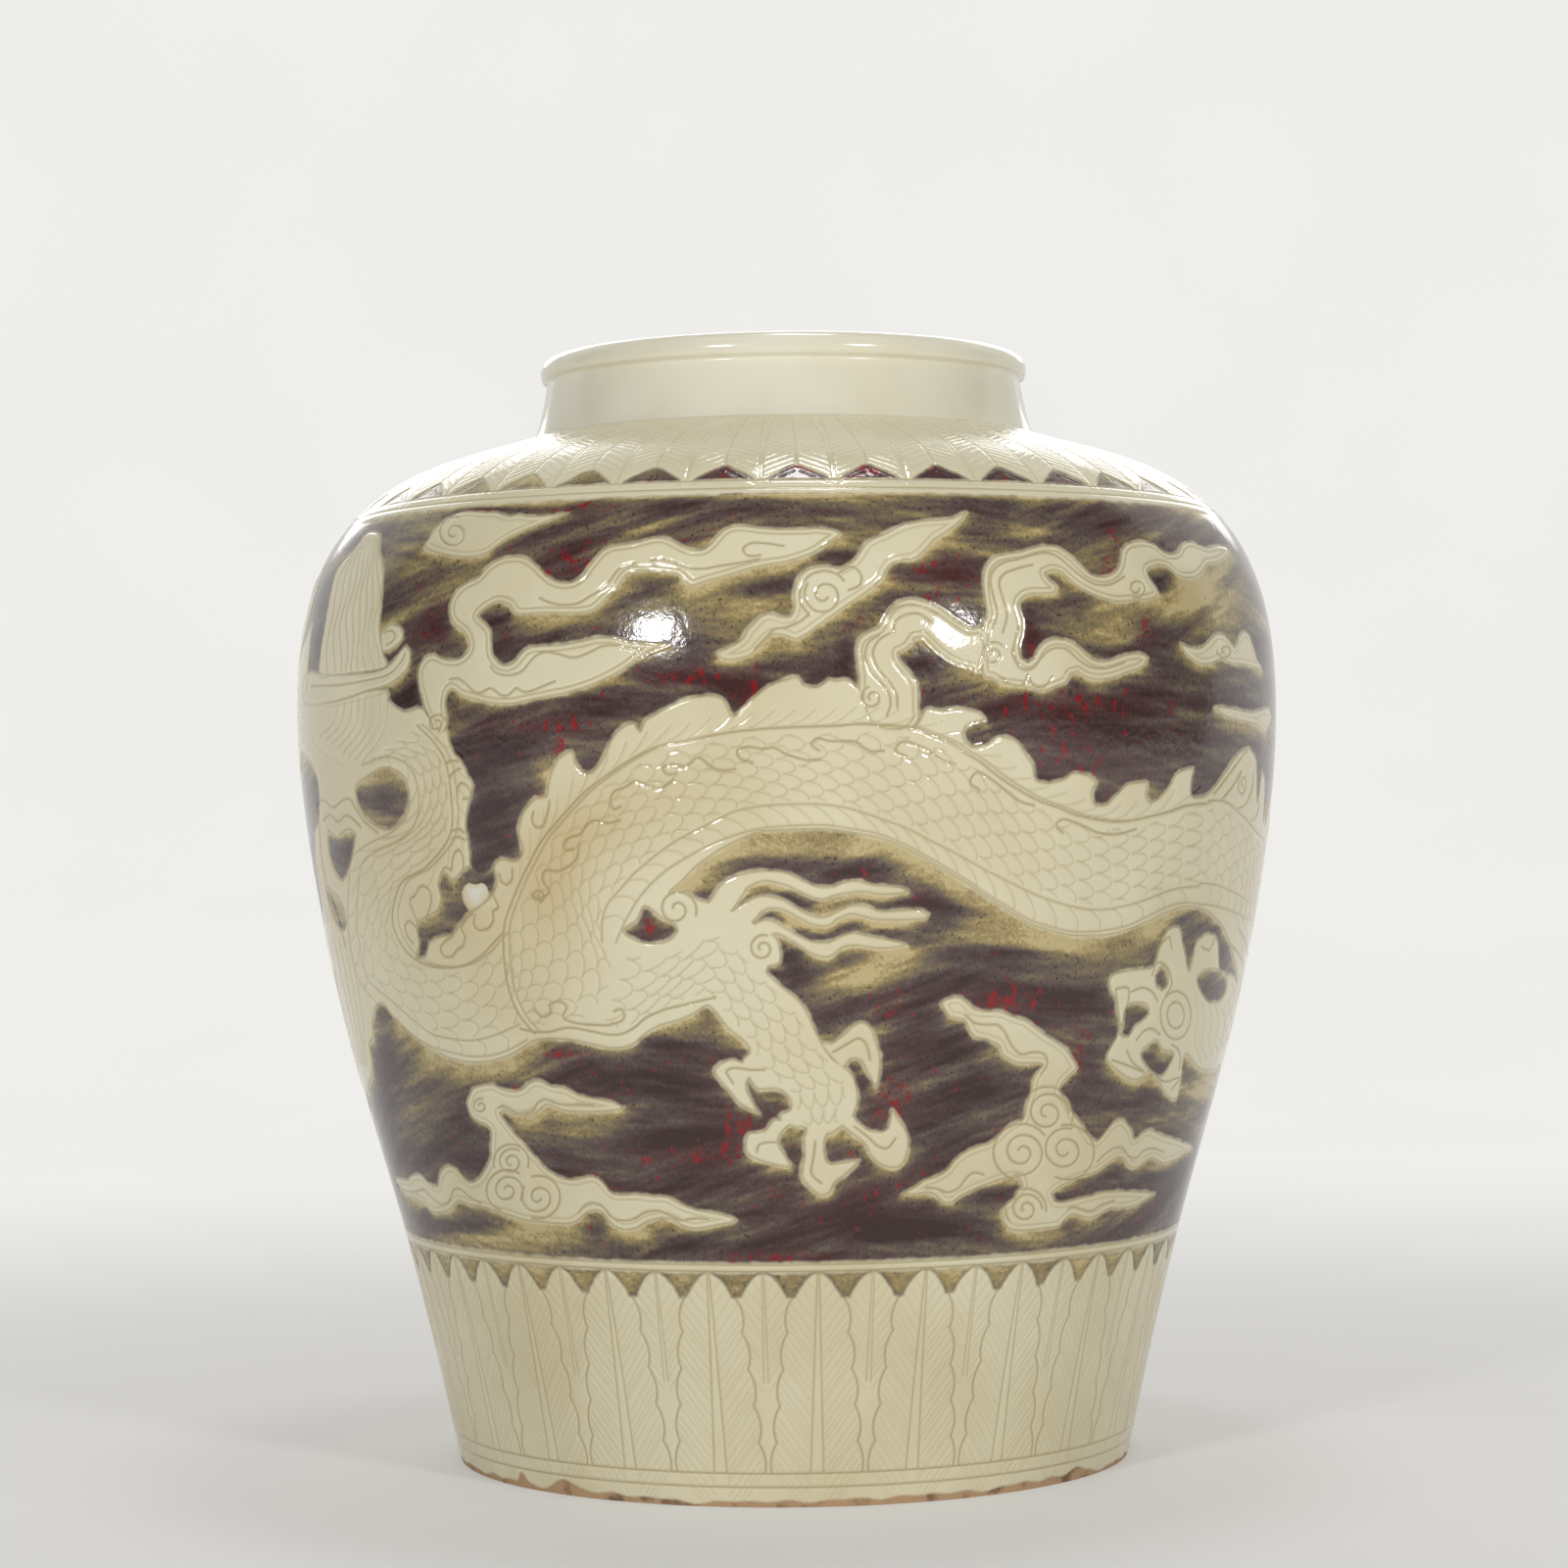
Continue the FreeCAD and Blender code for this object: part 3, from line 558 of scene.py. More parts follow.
HEAD_LINES = [
    [(640, 700), (626, 694), (610, 698), (604, 708), (612, 716), (628, 716), (640, 708)],
    [(596, 702), (604, 684), (622, 676), (642, 680), (660, 692), (676, 690)],
    [(628, 758), (604, 748), (576, 742), (548, 738), (530, 726)],
    [(560, 742), (564, 754), (572, 743)],
    [(584, 744), (588, 757), (596, 746)],
    [(566, 776), (572, 764), (580, 773)],
    [(592, 771), (597, 760), (604, 769)],
    [(650, 760), (668, 744), (690, 742), (706, 756), (704, 776), (688, 786), (672, 780)],
    [(690, 700), (712, 694), (734, 704), (742, 724), (732, 742)],
    [(720, 690), (748, 690), (768, 708), (772, 734)],
    [(650, 790), (676, 800), (698, 822), (716, 848)],
    [(750, 660), (776, 668), (792, 690), (796, 716)],
    [(690, 680), (712, 672), (738, 676)],
    [(590, 712), (600, 722), (618, 726), (638, 720), (652, 706)],
    [(664, 640), (676, 660), (692, 668)],
    [(704, 640), (722, 616), (756, 600), (800, 596)],
    [(776, 656), (784, 638), (798, 630)],
    [(706, 806), (718, 826)],
    [(732, 804), (746, 824)],
    [(758, 798), (772, 814)],
    [(784, 790), (798, 802)],
    [(820, 672), (846, 652), (876, 634), (894, 604)]]
MANE_STRANDS = [
    [(790 + 9 * i, 690 + 14 * i), (840 + 5 * i, 692 + 15 * i), (890, 704 + 13 * i), (935, 708 + 11 * i)]
    for i in range(7)]
HEAD_CURLS = [
    (536, 704, 2, 11, 1.3, 0.2), (620, 706, 1, 4, 1.2, 0.0), (724, 724, 3, 13, 1.3, 0.6),
    (690, 766, 3, 12, 1.4, 0.3)]
WHISKERS = [
    [(540, 742), (522, 748), (500, 744), (486, 728), (478, 706), (464, 694), (446, 696), (434, 708),
     (430, 722), (438, 716), (448, 706), (460, 708), (468, 722), (476, 744), (494, 760), (520, 760),
     (544, 752)],
    [(620, 806), (606, 822), (588, 834), (566, 836), (548, 846), (536, 864), (552, 856), (572, 850),
     (592, 850), (612, 838), (632, 818)],
    [(660, 808), (648, 830), (630, 850), (608, 862), (594, 878), (588, 896), (602, 882), (620, 874),
     (642, 864), (662, 842), (676, 820)],
    [(690, 814), (684, 846), (668, 874), (652, 898), (644, 926), (658, 910), (680, 890), (698, 862),
     (706, 830)],
    [(600, 682), (580, 664), (556, 652), (530, 652), (508, 638), (496, 614), (504, 648), (528, 668),
     (554, 670), (580, 682)]]
TAIL_BACK = [
    (-1088, 822), (-1050, 824), (-1003, 838), (-947, 854), (-885, 866), (-840, 884), (-800, 888),
    (-745, 878), (-690, 858), (-640, 832), (-590, 802), (-545, 768), (-500, 734), (-450, 704),
    (-395, 688), (-335, 690), (-275, 710), (-220, 738), (-165, 764), (-110, 778), (-60, 776), (-20, 766)]
TAIL_BELLY = [
    (-1088, 921), (-1050, 924), (-1003, 930), (-947, 938), (-885, 946), (-840, 972), (-800, 986),
    (-745, 986), (-690, 972), (-640, 946), (-590, 916), (-545, 886), (-500, 850), (-450, 810),
    (-395, 782), (-335, 772), (-275, 780), (-220, 798), (-165, 814), (-110, 818), (-60, 806), (-20, 786)]
TAIL_FLAMES = [
    [(-50, 772), (-24, 756), (2, 750), (28, 756), (54, 750), (74, 734), (68, 760), (48, 778), (20, 784),
     (-4, 782), (-26, 792)],
    [(-44, 784), (-16, 784), (10, 794), (36, 808), (64, 808), (88, 796), (76, 822), (48, 834), (18, 826),
     (-8, 810), (-34, 800)],
    [(-62, 770), (-40, 746), (-14, 730), (10, 728), (34, 716), (48, 698), (44, 724), (26, 744), (0, 754),
     (-22, 764), (-42, 782)]]
HIP = [
    (-905, 925), (-840, 955), (-790, 985), (-772, 1012), (-782, 1044), (-804, 1068), (-832, 1083),
    (-905, 1085)]
FIN_END = [
    (-905, 824), (-878, 826), (-850, 840), (-822, 862), (-800, 884), (-850, 905), (-905, 905)]
FIN_NOTCH = [
    (-930, 790), (-912, 806), (-900, 846), (-888, 822), (-872, 824), (-858, 860), (-846, 836),
    (-826, 852), (-810, 820), (-830, 760), (-930, 750)]
FLAME_NOTCHES = [
    [(-984, 772), (-972, 788), (-958, 824), (-952, 796), (-942, 780)],
    [(-938, 786), (-930, 806), (-917, 842), (-911, 815), (-905, 790)]]
SIDE_LINES = [
    [(-1078, 816), (-1050, 798), (-1024, 782), (-1008, 774)],
    [(-1062, 822), (-1038, 808), (-1020, 794)],
    [(-1020, 830), (-1000, 826), (-984, 812), (-982, 796)],
    [(-975, 842), (-958, 838), (-948, 826)],
    [(-796, 996), (-786, 1016), (-798, 1042), (-826, 1056), (-858, 1062)],
    [(-960, 950), (-920, 962), (-880, 976), (-850, 978)],
    [(-980, 965), (-930, 978), (-890, 990)]]
SIDE_CURLS = [
    (-832, 1014, 4, 26, 1.7, 0.1), (-1012, 806, 2, 13, 1.4, 0.2)]
LEG_TOP = [
    (-950, 996), (-910, 992), (-866, 990)]
LEG_LOW = [
    (-950, 1070), (-910, 1072), (-866, 1066)]
FAR_ARM = [
    (935, 900), (870, 936), (800, 960), (760, 970), (724, 966), (690, 974), (664, 992), (650, 1016),
    (656, 1040), (676, 1054), (702, 1050), (722, 1036), (752, 1032), (786, 1042), (822, 1054),
    (858, 1056), (935, 1050)]
ELBOW_TUFT = [
    (866, 1030), (838, 1048), (824, 1072), (828, 1092), (842, 1074), (850, 1090), (862, 1112),
    (878, 1130), (900, 1092), (915, 1030)]
TUFT_HAIRS = [
    [(846 + 12 * i, 978 + 3 * i), (838 + 13 * i, 1016), (836 + 12 * i, 1050), (842 + 9 * i, 1082 + 6 * i)]
    for i in range(4)]
TUFT_NOTCH = [
    (866, 836), (920, 846), (904, 870), (898, 912), (876, 912)]
FAR_ARM_FINGERS = [
    [(668, 990), (648, 976), (628, 968), (606, 974), (592, 990), (590, 1008), (606, 996), (624, 992),
     (640, 1002), (656, 1012)],
    [(654, 1008), (630, 1012), (608, 1022), (596, 1040), (598, 1060), (610, 1046), (626, 1038),
     (644, 1036), (660, 1036)],
    [(658, 1034), (640, 1052), (628, 1072), (630, 1094), (644, 1108), (646, 1090), (652, 1074),
     (668, 1060), (682, 1052)],
    [(690, 1048), (694, 1068), (690, 1090), (700, 1108), (718, 1114), (712, 1096), (714, 1076),
     (716, 1058), (712, 1042)]]
PEARL = (300, 760, 40)
PEARL_SPIRAL = (5, 28, 1.8, 0.1)
PEARL_FLAMES = [
    [(272, 732), (264, 710), (246, 696), (242, 674), (254, 654), (256, 676), (272, 684), (284, 702),
     (290, 724)],
    [(292, 724), (292, 702), (284, 682), (292, 660), (310, 646), (304, 668), (312, 688), (316, 708),
     (312, 728)],
    [(318, 728), (330, 712), (334, 692), (352, 682), (372, 684), (356, 696), (354, 716), (342, 732),
     (330, 740)],
    [(336, 750), (356, 748), (376, 738), (396, 744), (384, 754), (368, 766), (348, 768)],
    [(264, 750), (244, 750), (228, 736), (210, 738), (222, 754), (236, 766), (260, 770)]]
HIND_LEG = [
    (-640, 920), (-600, 930), (-566, 950), (-540, 980), (-520, 1010), (-508, 1040), (-496, 1064),
    (-508, 1084), (-530, 1090), (-552, 1080), (-564, 1056), (-580, 1030), (-604, 1004), (-634, 986),
    (-660, 968)]
HIND_FINGERS = [
    [(-552, 1066), (-576, 1066), (-596, 1076), (-606, 1096), (-600, 1116), (-588, 1100), (-572, 1094),
     (-554, 1094), (-540, 1086)],
    [(-540, 1080), (-554, 1098), (-560, 1120), (-552, 1142), (-534, 1152), (-538, 1132), (-530, 1114),
     (-518, 1098), (-514, 1082)],
    [(-524, 1084), (-512, 1104), (-492, 1116), (-482, 1136), (-490, 1156), (-468, 1144), (-460, 1122),
     (-472, 1102), (-492, 1088), (-504, 1072)],
    [(-508, 1076), (-484, 1072), (-464, 1080), (-444, 1076), (-432, 1060), (-452, 1060), (-470, 1054),
     (-490, 1048), (-504, 1050)]]
TAIL_START = 4
TAIL_SCALES_ACROSS = 4
TAIL_LOBES = [-878, -824, -770, -716, -662, -606, -556, -508, -458, -404, -348, -292, -238, -184, -130]
TAIL_FIN_STRETCH = (190, 1020)
TAIL_PLATES_SHARE = 0.8
SCALES_BEHIND = [
    (HIND_LEG[:8], HIND_LEG[:8:-1], 3), (LEG_TOP, LEG_LOW, 4), (FAR_ARM[1:8], FAR_ARM[-2:7:-1], 3)]

# Clouds drawn again behind, as (which cloud, its contours, move right, move down, whether it is mirrored)
CLOUDS_BEHIND = [
    (DIAGONAL_CLOUD, CLOUD_CONTOURS, -1350, 6, False), (RIGHT_RIBBON, RIBBON_CONTOURS, -1040, -20, False),
    (SMALL_CLOUD, CLOUD_CONTOURS, -170, 24, False), (LEFT_RIBBON, RIBBON_CONTOURS, -700, 345, False),
    (LOWER_RIGHT_CLOUD, CLOUD_CONTOURS, -880, 6, False), (LOWER_LEFT_CLOUD, CLOUD_CONTOURS, -820, 6, False),
    (LOWER_LEFT_CLOUD, CLOUD_CONTOURS, -70, 14, False), (DIAGONAL_CLOUD, CLOUD_CONTOURS, -560, 330, False),
    (SMALL_CLOUD, CLOUD_CONTOURS, -1250, 60, False), (SMALL_CLOUD, CLOUD_CONTOURS, 170, -4, False),
    (DIAGONAL_CLOUD, CLOUD_CONTOURS, -1540, 590, True)]

# Where the brushed pigment is thicker or thinner than usual, as (x, y, half width, half height, amount); the
# first is painted light, a broad thinning that lightens the upper part of the band as if lit from above
USUAL_PIGMENT = 0.60
PIGMENT_WASHES_AND_TOP_LIGHT = [
    # Painted light: the first wash on the next line thins the pigment over the upper part of the band so that
    # it shows lighter, as if lit from above
    (820, 530, 560, 110, -0.13), (430, 590, 50, 60, -0.08), (900, 960, 130, 40, -0.1),
    (680, 511, 170, 11, 0.35), (575, 562, 40, 26, 0.3), (412, 570, 26, 34, -0.1),
    (448, 640, 20, 28, 0.35), (420, 695, 12, 30, 0.3), (325, 610, 9, 60, 0.25), (662, 598, 40, 12, 0.15),
    (745, 622, 62, 34, -0.28), (776, 600, 34, 9, 0.22), (508, 642, 20, 26, 0.35),
    (590, 640, 40, 14, -0.12), (600, 600, 50, 12, -0.35), (560, 718, 90, 18, 0.22),
    (690, 690, 50, 18, 0.38), (758, 708, 28, 20, 0.4), (500, 800, 42, 90, 0.38),
    (560, 792, 14, 20, -0.32), (606, 766, 20, 20, 0.1), (802, 682, 26, 26, -0.15),
    (770, 884, 80, 11, 0.25), (452, 930, 24, 36, -0.25), (388, 815, 34, 36, -0.35),
    (390, 818, 15, 16, 0.45), (347, 872, 12, 24, 0.15), (343, 930, 12, 30, -0.3),
    (868, 511, 118, 12, 0.05), (1115, 518, 140, 18, 0.28), (1056, 543, 30, 5, -0.4),
    (960, 585, 50, 32, 0.25), (855, 615, 50, 45, -0.08), (864, 668, 10, 24, 0.3),
    (946, 680, 26, 32, 0.15), (992, 700, 22, 18, -0.2), (1070, 614, 32, 12, 0.25),
    (1050, 648, 9, 24, 0.4), (1126, 640, 40, 22, -0.38), (1180, 650, 20, 24, 0.3),
    (1238, 618, 44, 32, -0.52), (1183, 596, 9, 13, 0.25), (1120, 738, 105, 46, 0.32),
    (1200, 735, 50, 14, -0.25), (1260, 700, 30, 18, 0.05), (997, 747, 10, 10, 0.1),
    (878, 890, 50, 9, 0.35), (800, 868, 90, 9, -0.3), (950, 930, 24, 36, 0.38),
    (1052, 955, 90, 18, -0.52), (1030, 972, 50, 8, 0.25), (812, 1000, 20, 30, 0.32),
    (898, 1004, 46, 20, -0.38), (930, 1026, 32, 28, 0.25), (1050, 1025, 80, 30, 0.32),
    (980, 1120, 60, 84, 0.3), (1000, 1136, 30, 20, -0.22), (1130, 1115, 40, 26, 0.1),
    (1224, 1118, 20, 24, -0.35), (890, 1248, 140, 32, 0.42), (965, 1271, 66, 7, -0.35),
    (1060, 1263, 30, 11, -0.6), (1145, 1218, 66, 34, 0.32), (394, 1105, 12, 76, 0.3),
    (432, 1130, 30, 44, -0.16), (478, 1145, 20, 42, 0.25), (436, 1190, 34, 8, 0.2),
    (512, 1098, 44, 12, -0.16), (650, 1095, 84, 28, 0.36), (582, 1156, 60, 20, -0.22),
    (592, 1188, 50, 14, 0.22), (704, 1176, 58, 50, 0.32), (690, 1147, 24, 7, -0.28),
    (545, 1258, 130, 20, -0.56), (470, 1250, 46, 11, 0.62), (610, 1256, 22, 10, 0.55),
    (770, 1275, 80, 12, 0.42), (1200, 968, 40, 14, -0.1), (1240, 960, 16, 30, 0.25)]

# Stretches along which the pigment was kept away, leaving a broad band of bare ochre ground
BARE_BANDS = [
    [(690, 912), (720, 884), (750, 868), (790, 858), (840, 857), (880, 862), (920, 876), (960, 900),
     (1000, 928), (1050, 954), (1100, 970), (1150, 966), (1185, 945)],
    [(410, 1055), (440, 1080), (480, 1094), (520, 1088), (550, 1074)]]
BARE_BAND_HALF_WIDTH = 15
BARE_SPOT_STRETCH = 1.4
BARE_BAND_AMOUNT = -0.44

# The shoulder's painted triangles are dark in the middle of the photograph and olive beside it
DARK_DARTS_MIDDLE = 865
DARK_DARTS_HALF_WIDTH = 235
DARK_DARTS_POWER = 4

# Ochre patches on the pale glaze, most of them on the left half of the front, as (x, y, half width, half
# height, amount)
OCHRE_PATCHES = [
    (560, 905, 42, 70, 0.75), (470, 940, 50, 40, 0.5), (600, 850, 50, 40, 0.45), (450, 800, 26, 60, 0.4),
    (660, 820, 80, 40, 0.25), (400, 860, 40, 60, 0.3), (1240, 800, 40, 60, 0.2),
    (840, 780, 200, 50, 0.12), (330, 900, 30, 120, 0.5), (520, 1010, 60, 60, 0.2)]

# Where blood-red flecks gather, as (x, y, half width, half height, amount)
RED_PATCHES = [
    (590, 512, 70, 10, 0.8), (1098, 506, 22, 8, 1.4), (960, 585, 44, 30, 0.8), (1135, 565, 9, 26, 1.5),
    (700, 690, 60, 14, 0.9), (765, 712, 16, 18, 1.3), (875, 635, 14, 24, 1.0), (572, 768, 10, 18, 1.4),
    (1090, 718, 80, 16, 0.9), (726, 1042, 12, 10, 1.4), (570, 1074, 20, 10, 1.3),
    (755, 1145, 24, 40, 1.0), (912, 1120, 20, 24, 1.3), (712, 1180, 44, 10, 1.1),
    (860, 1215, 90, 26, 0.6), (910, 1025, 20, 14, 1.0), (1020, 1022, 44, 14, 1.2),
    (1100, 1070, 14, 36, 0.8), (800, 1284, 60, 8, 1.2), (1040, 705, 30, 10, 0.8),
    (440, 620, 22, 50, 0.8), (560, 740, 70, 8, 0.9), (600, 575, 50, 18, 0.7), (1170, 640, 12, 22, 1.1),
    (1050, 660, 10, 20, 1.3), (860, 474, 230, 10, 1.4), (1130, 1235, 50, 14, 0.6),
    (662, 945, 20, 14, 0.9), (1092, 760, 60, 24, 0.5), (940, 905, 14, 20, 0.6), (1170, 520, 50, 10, 0.6)]

# A drop of thick white glaze that ran into a hollow beside the neck: its centre, sizes and lobes
GLAZE_DROP = (485, 909)
GLAZE_DROP_HALF_WIDTH = 14
GLAZE_DROP_HEIGHT = 0.55
GLAZE_DROP_HALF_HEIGHT_ABOVE = 8.0
GLAZE_DROP_HALF_HEIGHT_BELOW = 22.0
GLAZE_DROP_LOBE_SHARE = 0.14
GLAZE_DROP_LOBE_WAVE = 0.42
GLAZE_DROP_REACH_SHARE = 1.1


def smooth_line(points, step, closed=False):
    """A rounded line through given points, divided about every step."""
    points = np.asarray(points, float)
    if closed:
        padded = np.vstack([points[-1], points, points[:2]])
    else:
        padded = np.vstack([2 * points[0] - points[1], points, 2 * points[-1] - points[-2]])
    pieces = []
    for before, start, end, after in zip(padded, padded[1:], padded[2:], padded[3:]):
        count = max(1, int(np.hypot(*(end - start)) / step))
        share = np.linspace(0, 1, count, endpoint=False)[:, None]
        bend = 2 * before - 5 * start + 4 * end - after
        swing = 3 * (start - end) + after - before
        pieces.append(start + 0.5 * share * (end - before + share * (bend + share * swing)))
    if not closed:
        pieces.append(points[-1:])
    return np.vstack(pieces)


def lengths_along(line):
    """The distance along a line at each of its points."""
    return np.concatenate([[0], np.cumsum(np.hypot(*np.diff(line, axis=0).T))])


def points_along(line, marks, places):
    """Points of a line at places among the marks that its own points have."""
    return np.stack([np.interp(places, marks, line[:, axis]) for axis in range(2)], 1)


def resampled(points, count):
    """A smooth line through points, divided into a number of equal lengths."""
    line = smooth_line(points, LINE_STEP)
    marks = lengths_along(line)
    return points_along(line, marks, np.linspace(0, marks[-1], count))


def between(first, second, along, share):
    """Places between two lines, at positions along them and at shares of the way across."""
    marks = np.arange(len(first))
    share = np.asarray(share)[:, None]
    return points_along(first, marks, along) * (1 - share) + points_along(second, marks, along) * share


def line_length(points):
    return lengths_along(smooth_line(points, LINE_STEP))[-1]


def spline_curve(heights, radii, step):
    """A natural cubic curve through the outline's points, as heights and radii about every step."""
    knots = np.stack([heights, radii], 1).astype(float)
    along = lengths_along(knots)
    gaps = np.diff(along)
    count = len(along)
    system = np.eye(count)
    slopes = np.diff(knots, axis=0) / gaps[:, None]
    target = np.zeros((count, 2))
    for i in range(1, count - 1):
        system[i, i - 1:i + 2] = [gaps[i - 1], 2 * (gaps[i - 1] + gaps[i]), gaps[i]]
        target[i] = 6 * (slopes[i] - slopes[i - 1])
    bends = np.linalg.solve(system, target)
    places = np.linspace(0, along[-1], int(along[-1] / step))
    index = np.clip(np.searchsorted(along, places, side="right") - 1, 0, count - 2)
    gap = gaps[index][:, None]
    left = (places - along[index])[:, None]
    right = gap - left
    curve = (bends[index] * right ** 3 + bends[index + 1] * left ** 3) / (6 * gap)
    curve += (knots[index] / gap - bends[index] * gap / 6) * right
    curve += (knots[index + 1] / gap - bends[index + 1] * gap / 6) * left
    return curve


# The outer wall as a table of heights and radii against the distance up the wall
profile = spline_curve(WALL_HEIGHTS, WALL_RADII, PROFILE_STEP)
profile_z, profile_r = profile.T
profile_up = lengths_along(profile)
ROWS = int(profile_up[-1] / ROW_STEP) + 1
row_up = np.linspace(0, profile_up[-1], ROWS)
row_z, row_r = points_along(profile, profile_up, row_up).T
row_slope = np.arctan2(np.gradient(row_z), np.gradient(row_r))
row_normal_r = np.sin(row_slope)
row_normal_z = -np.cos(row_slope)
row_gap = row_up[1] - row_up[0]
turn = 2 * math.pi * (np.arange(COLUMNS) / COLUMNS - 0.5)
turn_gap = turn[1] - turn[0]


def up_at_height(height):
    return np.interp(height, profile_z, profile_up)


def radius_at_up(up):
    return np.interp(up, profile_up, profile_r)


# A pixel's line of sight is followed in steps from before the jar to a little past its axis
SIGHT_STEPS = 400
SIGHT_MARGIN = 10.0
SIGHT_PAST_AXIS_SHARE = 1 / 3
TINY = 1e-9


def pixels_to_wall(pixels):
    """The places on the wall, as (angle, distance up the wall), that pixels of the photograph show."""
    pixels = np.asarray(pixels, float) - IMAGE_SIZE / 2
    across = (pixels[:, 0] * COS_ROLL - pixels[:, 1] * SIN_ROLL) / FOCAL_PIXELS
    upward = -(pixels[:, 0] * SIN_ROLL + pixels[:, 1] * COS_ROLL) / FOCAL_PIXELS
    ray_y = COS_PITCH + upward * SIN_PITCH
    ray_z = -SIN_PITCH + upward * COS_PITCH
    widest = BELLY_RADIUS + SIGHT_MARGIN
    nearest, farthest = CAMERA_DISTANCE - widest, CAMERA_DISTANCE + widest * SIGHT_PAST_AXIS_SHARE
    depth = np.linspace(nearest, farthest, SIGHT_STEPS)[:, None] / ray_y
    x = CAMERA_X + across * depth
    y = -CAMERA_DISTANCE + ray_y * depth
    z = CAMERA_HEIGHT + ray_z * depth
    gap = np.hypot(x, y) - np.interp(z, profile_z, profile_r)
    first = np.where((gap < 0).any(0), (gap < 0).argmax(0), gap.argmin(0))
    column = np.arange(len(first))
    previous = np.maximum(first - 1, 0)
    gap_after, gap_before = gap[first, column], gap[previous, column]
    crosses = (gap_after < 0) & (gap_before > 0)
    share = np.where(crosses, gap_before / np.maximum(gap_before - gap_after, TINY), 1.0)
    hit = [line[previous, column] * (1 - share) + line[first, column] * share for line in (x, y, z)]
    return np.stack([np.arctan2(hit[0], -hit[1]), up_at_height(hit[2])], 1)


def wall_to_pixels(angle, up):
    """The pixels of the photograph at which places on the wall would show."""
    radius, height = radius_at_up(up), np.interp(up, profile_up, profile_z)
    x = radius * np.sin(angle) - CAMERA_X
    y = CAMERA_DISTANCE - radius * np.cos(angle)
    z = height - CAMERA_HEIGHT
    depth = y * COS_PITCH - z * SIN_PITCH
    rise = y * SIN_PITCH + z * COS_PITCH
    across, down = FOCAL_PIXELS * x / depth, -FOCAL_PIXELS * rise / depth
    half = IMAGE_SIZE / 2
    return half + across * COS_ROLL + down * SIN_ROLL, half - across * SIN_ROLL + down * COS_ROLL


def up_at_pixel(pixel_y):
    return pixels_to_wall([(MIDDLE_COLUMN, pixel_y)])[0, 1]


# Behind the jar a drawing is unrolled flat from the middle there, in units of a pixel's size
UNROLLED_UNIT = 0.4324
MIDDLE_ROW = 838


def behind(points):
    """The places on the wall of points of the unrolled drawing."""
    points = np.asarray(points, float)
    angle = math.pi + points[:, 0] * UNROLLED_UNIT / BELLY_RADIUS
    up = up_at_height(CAMERA_HEIGHT) - (points[:, 1] - MIDDLE_ROW) * UNROLLED_UNIT
    return np.stack([angle, up], 1)


def on_wall(points, closed=False, place=pixels_to_wall):
    """A smooth line or outline through points, laid on the wall."""
    return place(smooth_line(points, OUTLINE_STEP if closed else LINE_STEP, closed))


# Fields over the whole skin: how deep lines are cut, and how far a place lies inside the reserved figure
groove = np.zeros((ROWS, COLUMNS), np.float32)
figure = np.full((ROWS, COLUMNS), -EDGE_REACH, np.float32)

# How far from its middle a line is still cut, as a share of its half width
CUT_REACH_SHARE = 2.2


def window_of(line, reach):
    """Row and column ranges around a line on the wall; columns may run past the seam at the back."""
    low, high = line[:, 1].min() - reach, line[:, 1].max() + reach
    first_row = max(0, int(low / row_gap))
    last_row = min(ROWS, int(high / row_gap) + 2)
    side = reach / radius_at_up(line[:, 1]).min()
    first_column = int((line[:, 0].min() - side - turn[0]) / turn_gap) - 1
    last_column = int((line[:, 0].max() + side - turn[0]) / turn_gap) + 2
    return first_row, last_row, first_column, last_column


def segment_distance(start, end, rows, columns):
    """Distances from a short straight stretch to the places of a window."""
    radius = radius_at_up((start[1] + end[1]) / 2)
    across = (turn[0] + columns * turn_gap - start[0])[None, :] * radius
    above = (rows * row_gap - start[1])[:, None]
    run, rise = (end[0] - start[0]) * radius, end[1] - start[1]
    share = np.clip((across * run + above * rise) / max(run * run + rise * rise, TINY), 0, 1)
    return np.hypot(across - share * run, above - share * rise)


def cut_line(line, strength=1.0, half_width=LINE_HALF_WIDTH):
    """Cuts an incised line along places on the wall."""
    for start, end in zip(line, line[1:]):
        window = window_of(np.stack([start, end]), CUT_REACH_SHARE * half_width)
        rows, columns = np.arange(*window[:2]), np.arange(*window[2:])
        depth = strength * np.exp(-(segment_distance(start, end, rows, columns) / half_width) ** 2)
        place = np.ix_(rows, columns % COLUMNS)
        groove[place] = np.maximum(groove[place], depth)


def cut_ring(up):
    depth = RING_SHARE * np.exp(-((row_up - up) / LINE_HALF_WIDTH) ** 2)
    np.maximum(groove, depth[:, None], out=groove)


